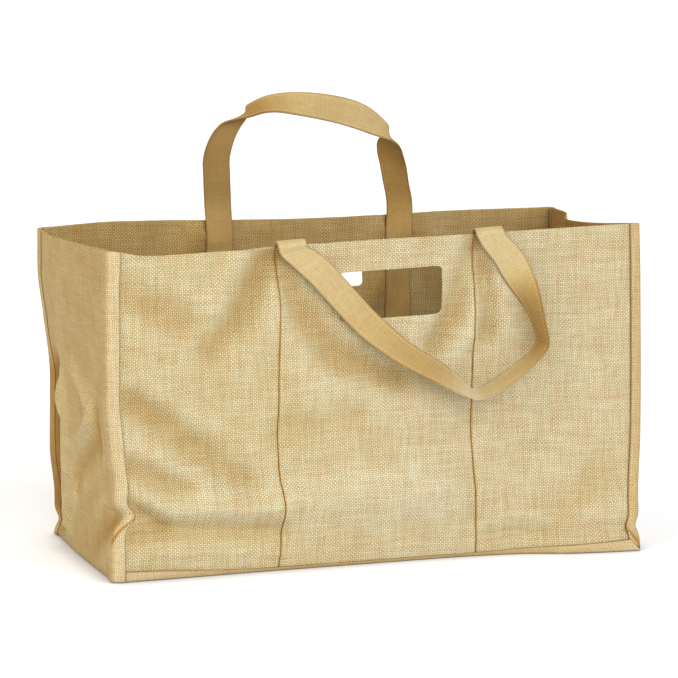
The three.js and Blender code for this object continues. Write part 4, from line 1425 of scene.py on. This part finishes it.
class BuildLongWalls(bpy.types.Operator):
    """Builds the front and back walls with their hand slots."""

    bl_idname = "bag.build_long_walls"
    bl_label = "Long Walls"

    def execute(self, context):
        build_long_walls(*settings(context))
        return {"FINISHED"}


class BuildSides(bpy.types.Operator):
    """Builds the two side panels."""

    bl_idname = "bag.build_sides"
    bl_label = "Side Panels"

    def execute(self, context):
        build_sides(*settings(context))
        return {"FINISHED"}


class BuildBase(bpy.types.Operator):
    """Builds the base sheet."""

    bl_idname = "bag.build_base"
    bl_label = "Base"

    def execute(self, context):
        build_base(*settings(context))
        return {"FINISHED"}


class BuildWelts(bpy.types.Operator):
    """Builds the welts over the corners and along the feet of the long walls."""

    bl_idname = "bag.build_welts"
    bl_label = "Welts"

    def execute(self, context):
        build_welts(*settings(context))
        return {"FINISHED"}


class BuildHandles(bpy.types.Operator):
    """Builds the two strap handles."""

    bl_idname = "bag.build_handles"
    bl_label = "Handles"

    def execute(self, context):
        build_handles(*settings(context))
        return {"FINISHED"}


class BuildStitching(bpy.types.Operator):
    """Sews the rows of stitches."""

    bl_idname = "bag.build_stitching"
    bl_label = "Stitching"

    def execute(self, context):
        build_stitching(*settings(context))
        return {"FINISHED"}


class BuildStage(bpy.types.Operator):
    """Sets up the floor, the light and the camera."""

    bl_idname = "bag.build_stage"
    bl_label = "Stage"

    def execute(self, context):
        build_stage()
        return {"FINISHED"}


STEPS = (BuildLongWalls, BuildSides, BuildBase, BuildWelts, BuildHandles, BuildStitching, BuildStage)


class BagPanel(bpy.types.Panel):
    """Lists the sizes, the finish and the build steps of the bag."""

    bl_idname = "VIEW3D_PT_firewood_bag"
    bl_label = "Firewood Bag"
    bl_space_type = "VIEW_3D"
    bl_region_type = "UI"
    bl_category = "Firewood Bag"

    def draw(self, context):
        for group in (context.scene.bag_sizes, context.scene.bag_finish):
            for name in type(group).__annotations__:
                self.layout.prop(group, name)
        for step in STEPS:
            self.layout.operator(step.bl_idname)


CLASSES = (BagSizes, BagFinish, *STEPS, BagPanel)


def register():
    for item in CLASSES:
        bpy.utils.register_class(item)
    bpy.types.Scene.bag_sizes = PointerProperty(type=BagSizes)
    bpy.types.Scene.bag_finish = PointerProperty(type=BagFinish)


def unregister():
    del bpy.types.Scene.bag_finish
    del bpy.types.Scene.bag_sizes
    for item in reversed(CLASSES):
        bpy.utils.unregister_class(item)


def main():
    register()
    bpy.ops.bag.build_long_walls()
    bpy.ops.bag.build_sides()
    bpy.ops.bag.build_base()
    bpy.ops.bag.build_welts()
    bpy.ops.bag.build_handles()
    bpy.ops.bag.build_stitching()
    bpy.ops.bag.build_stage()


if __name__ == "__main__":
    main()
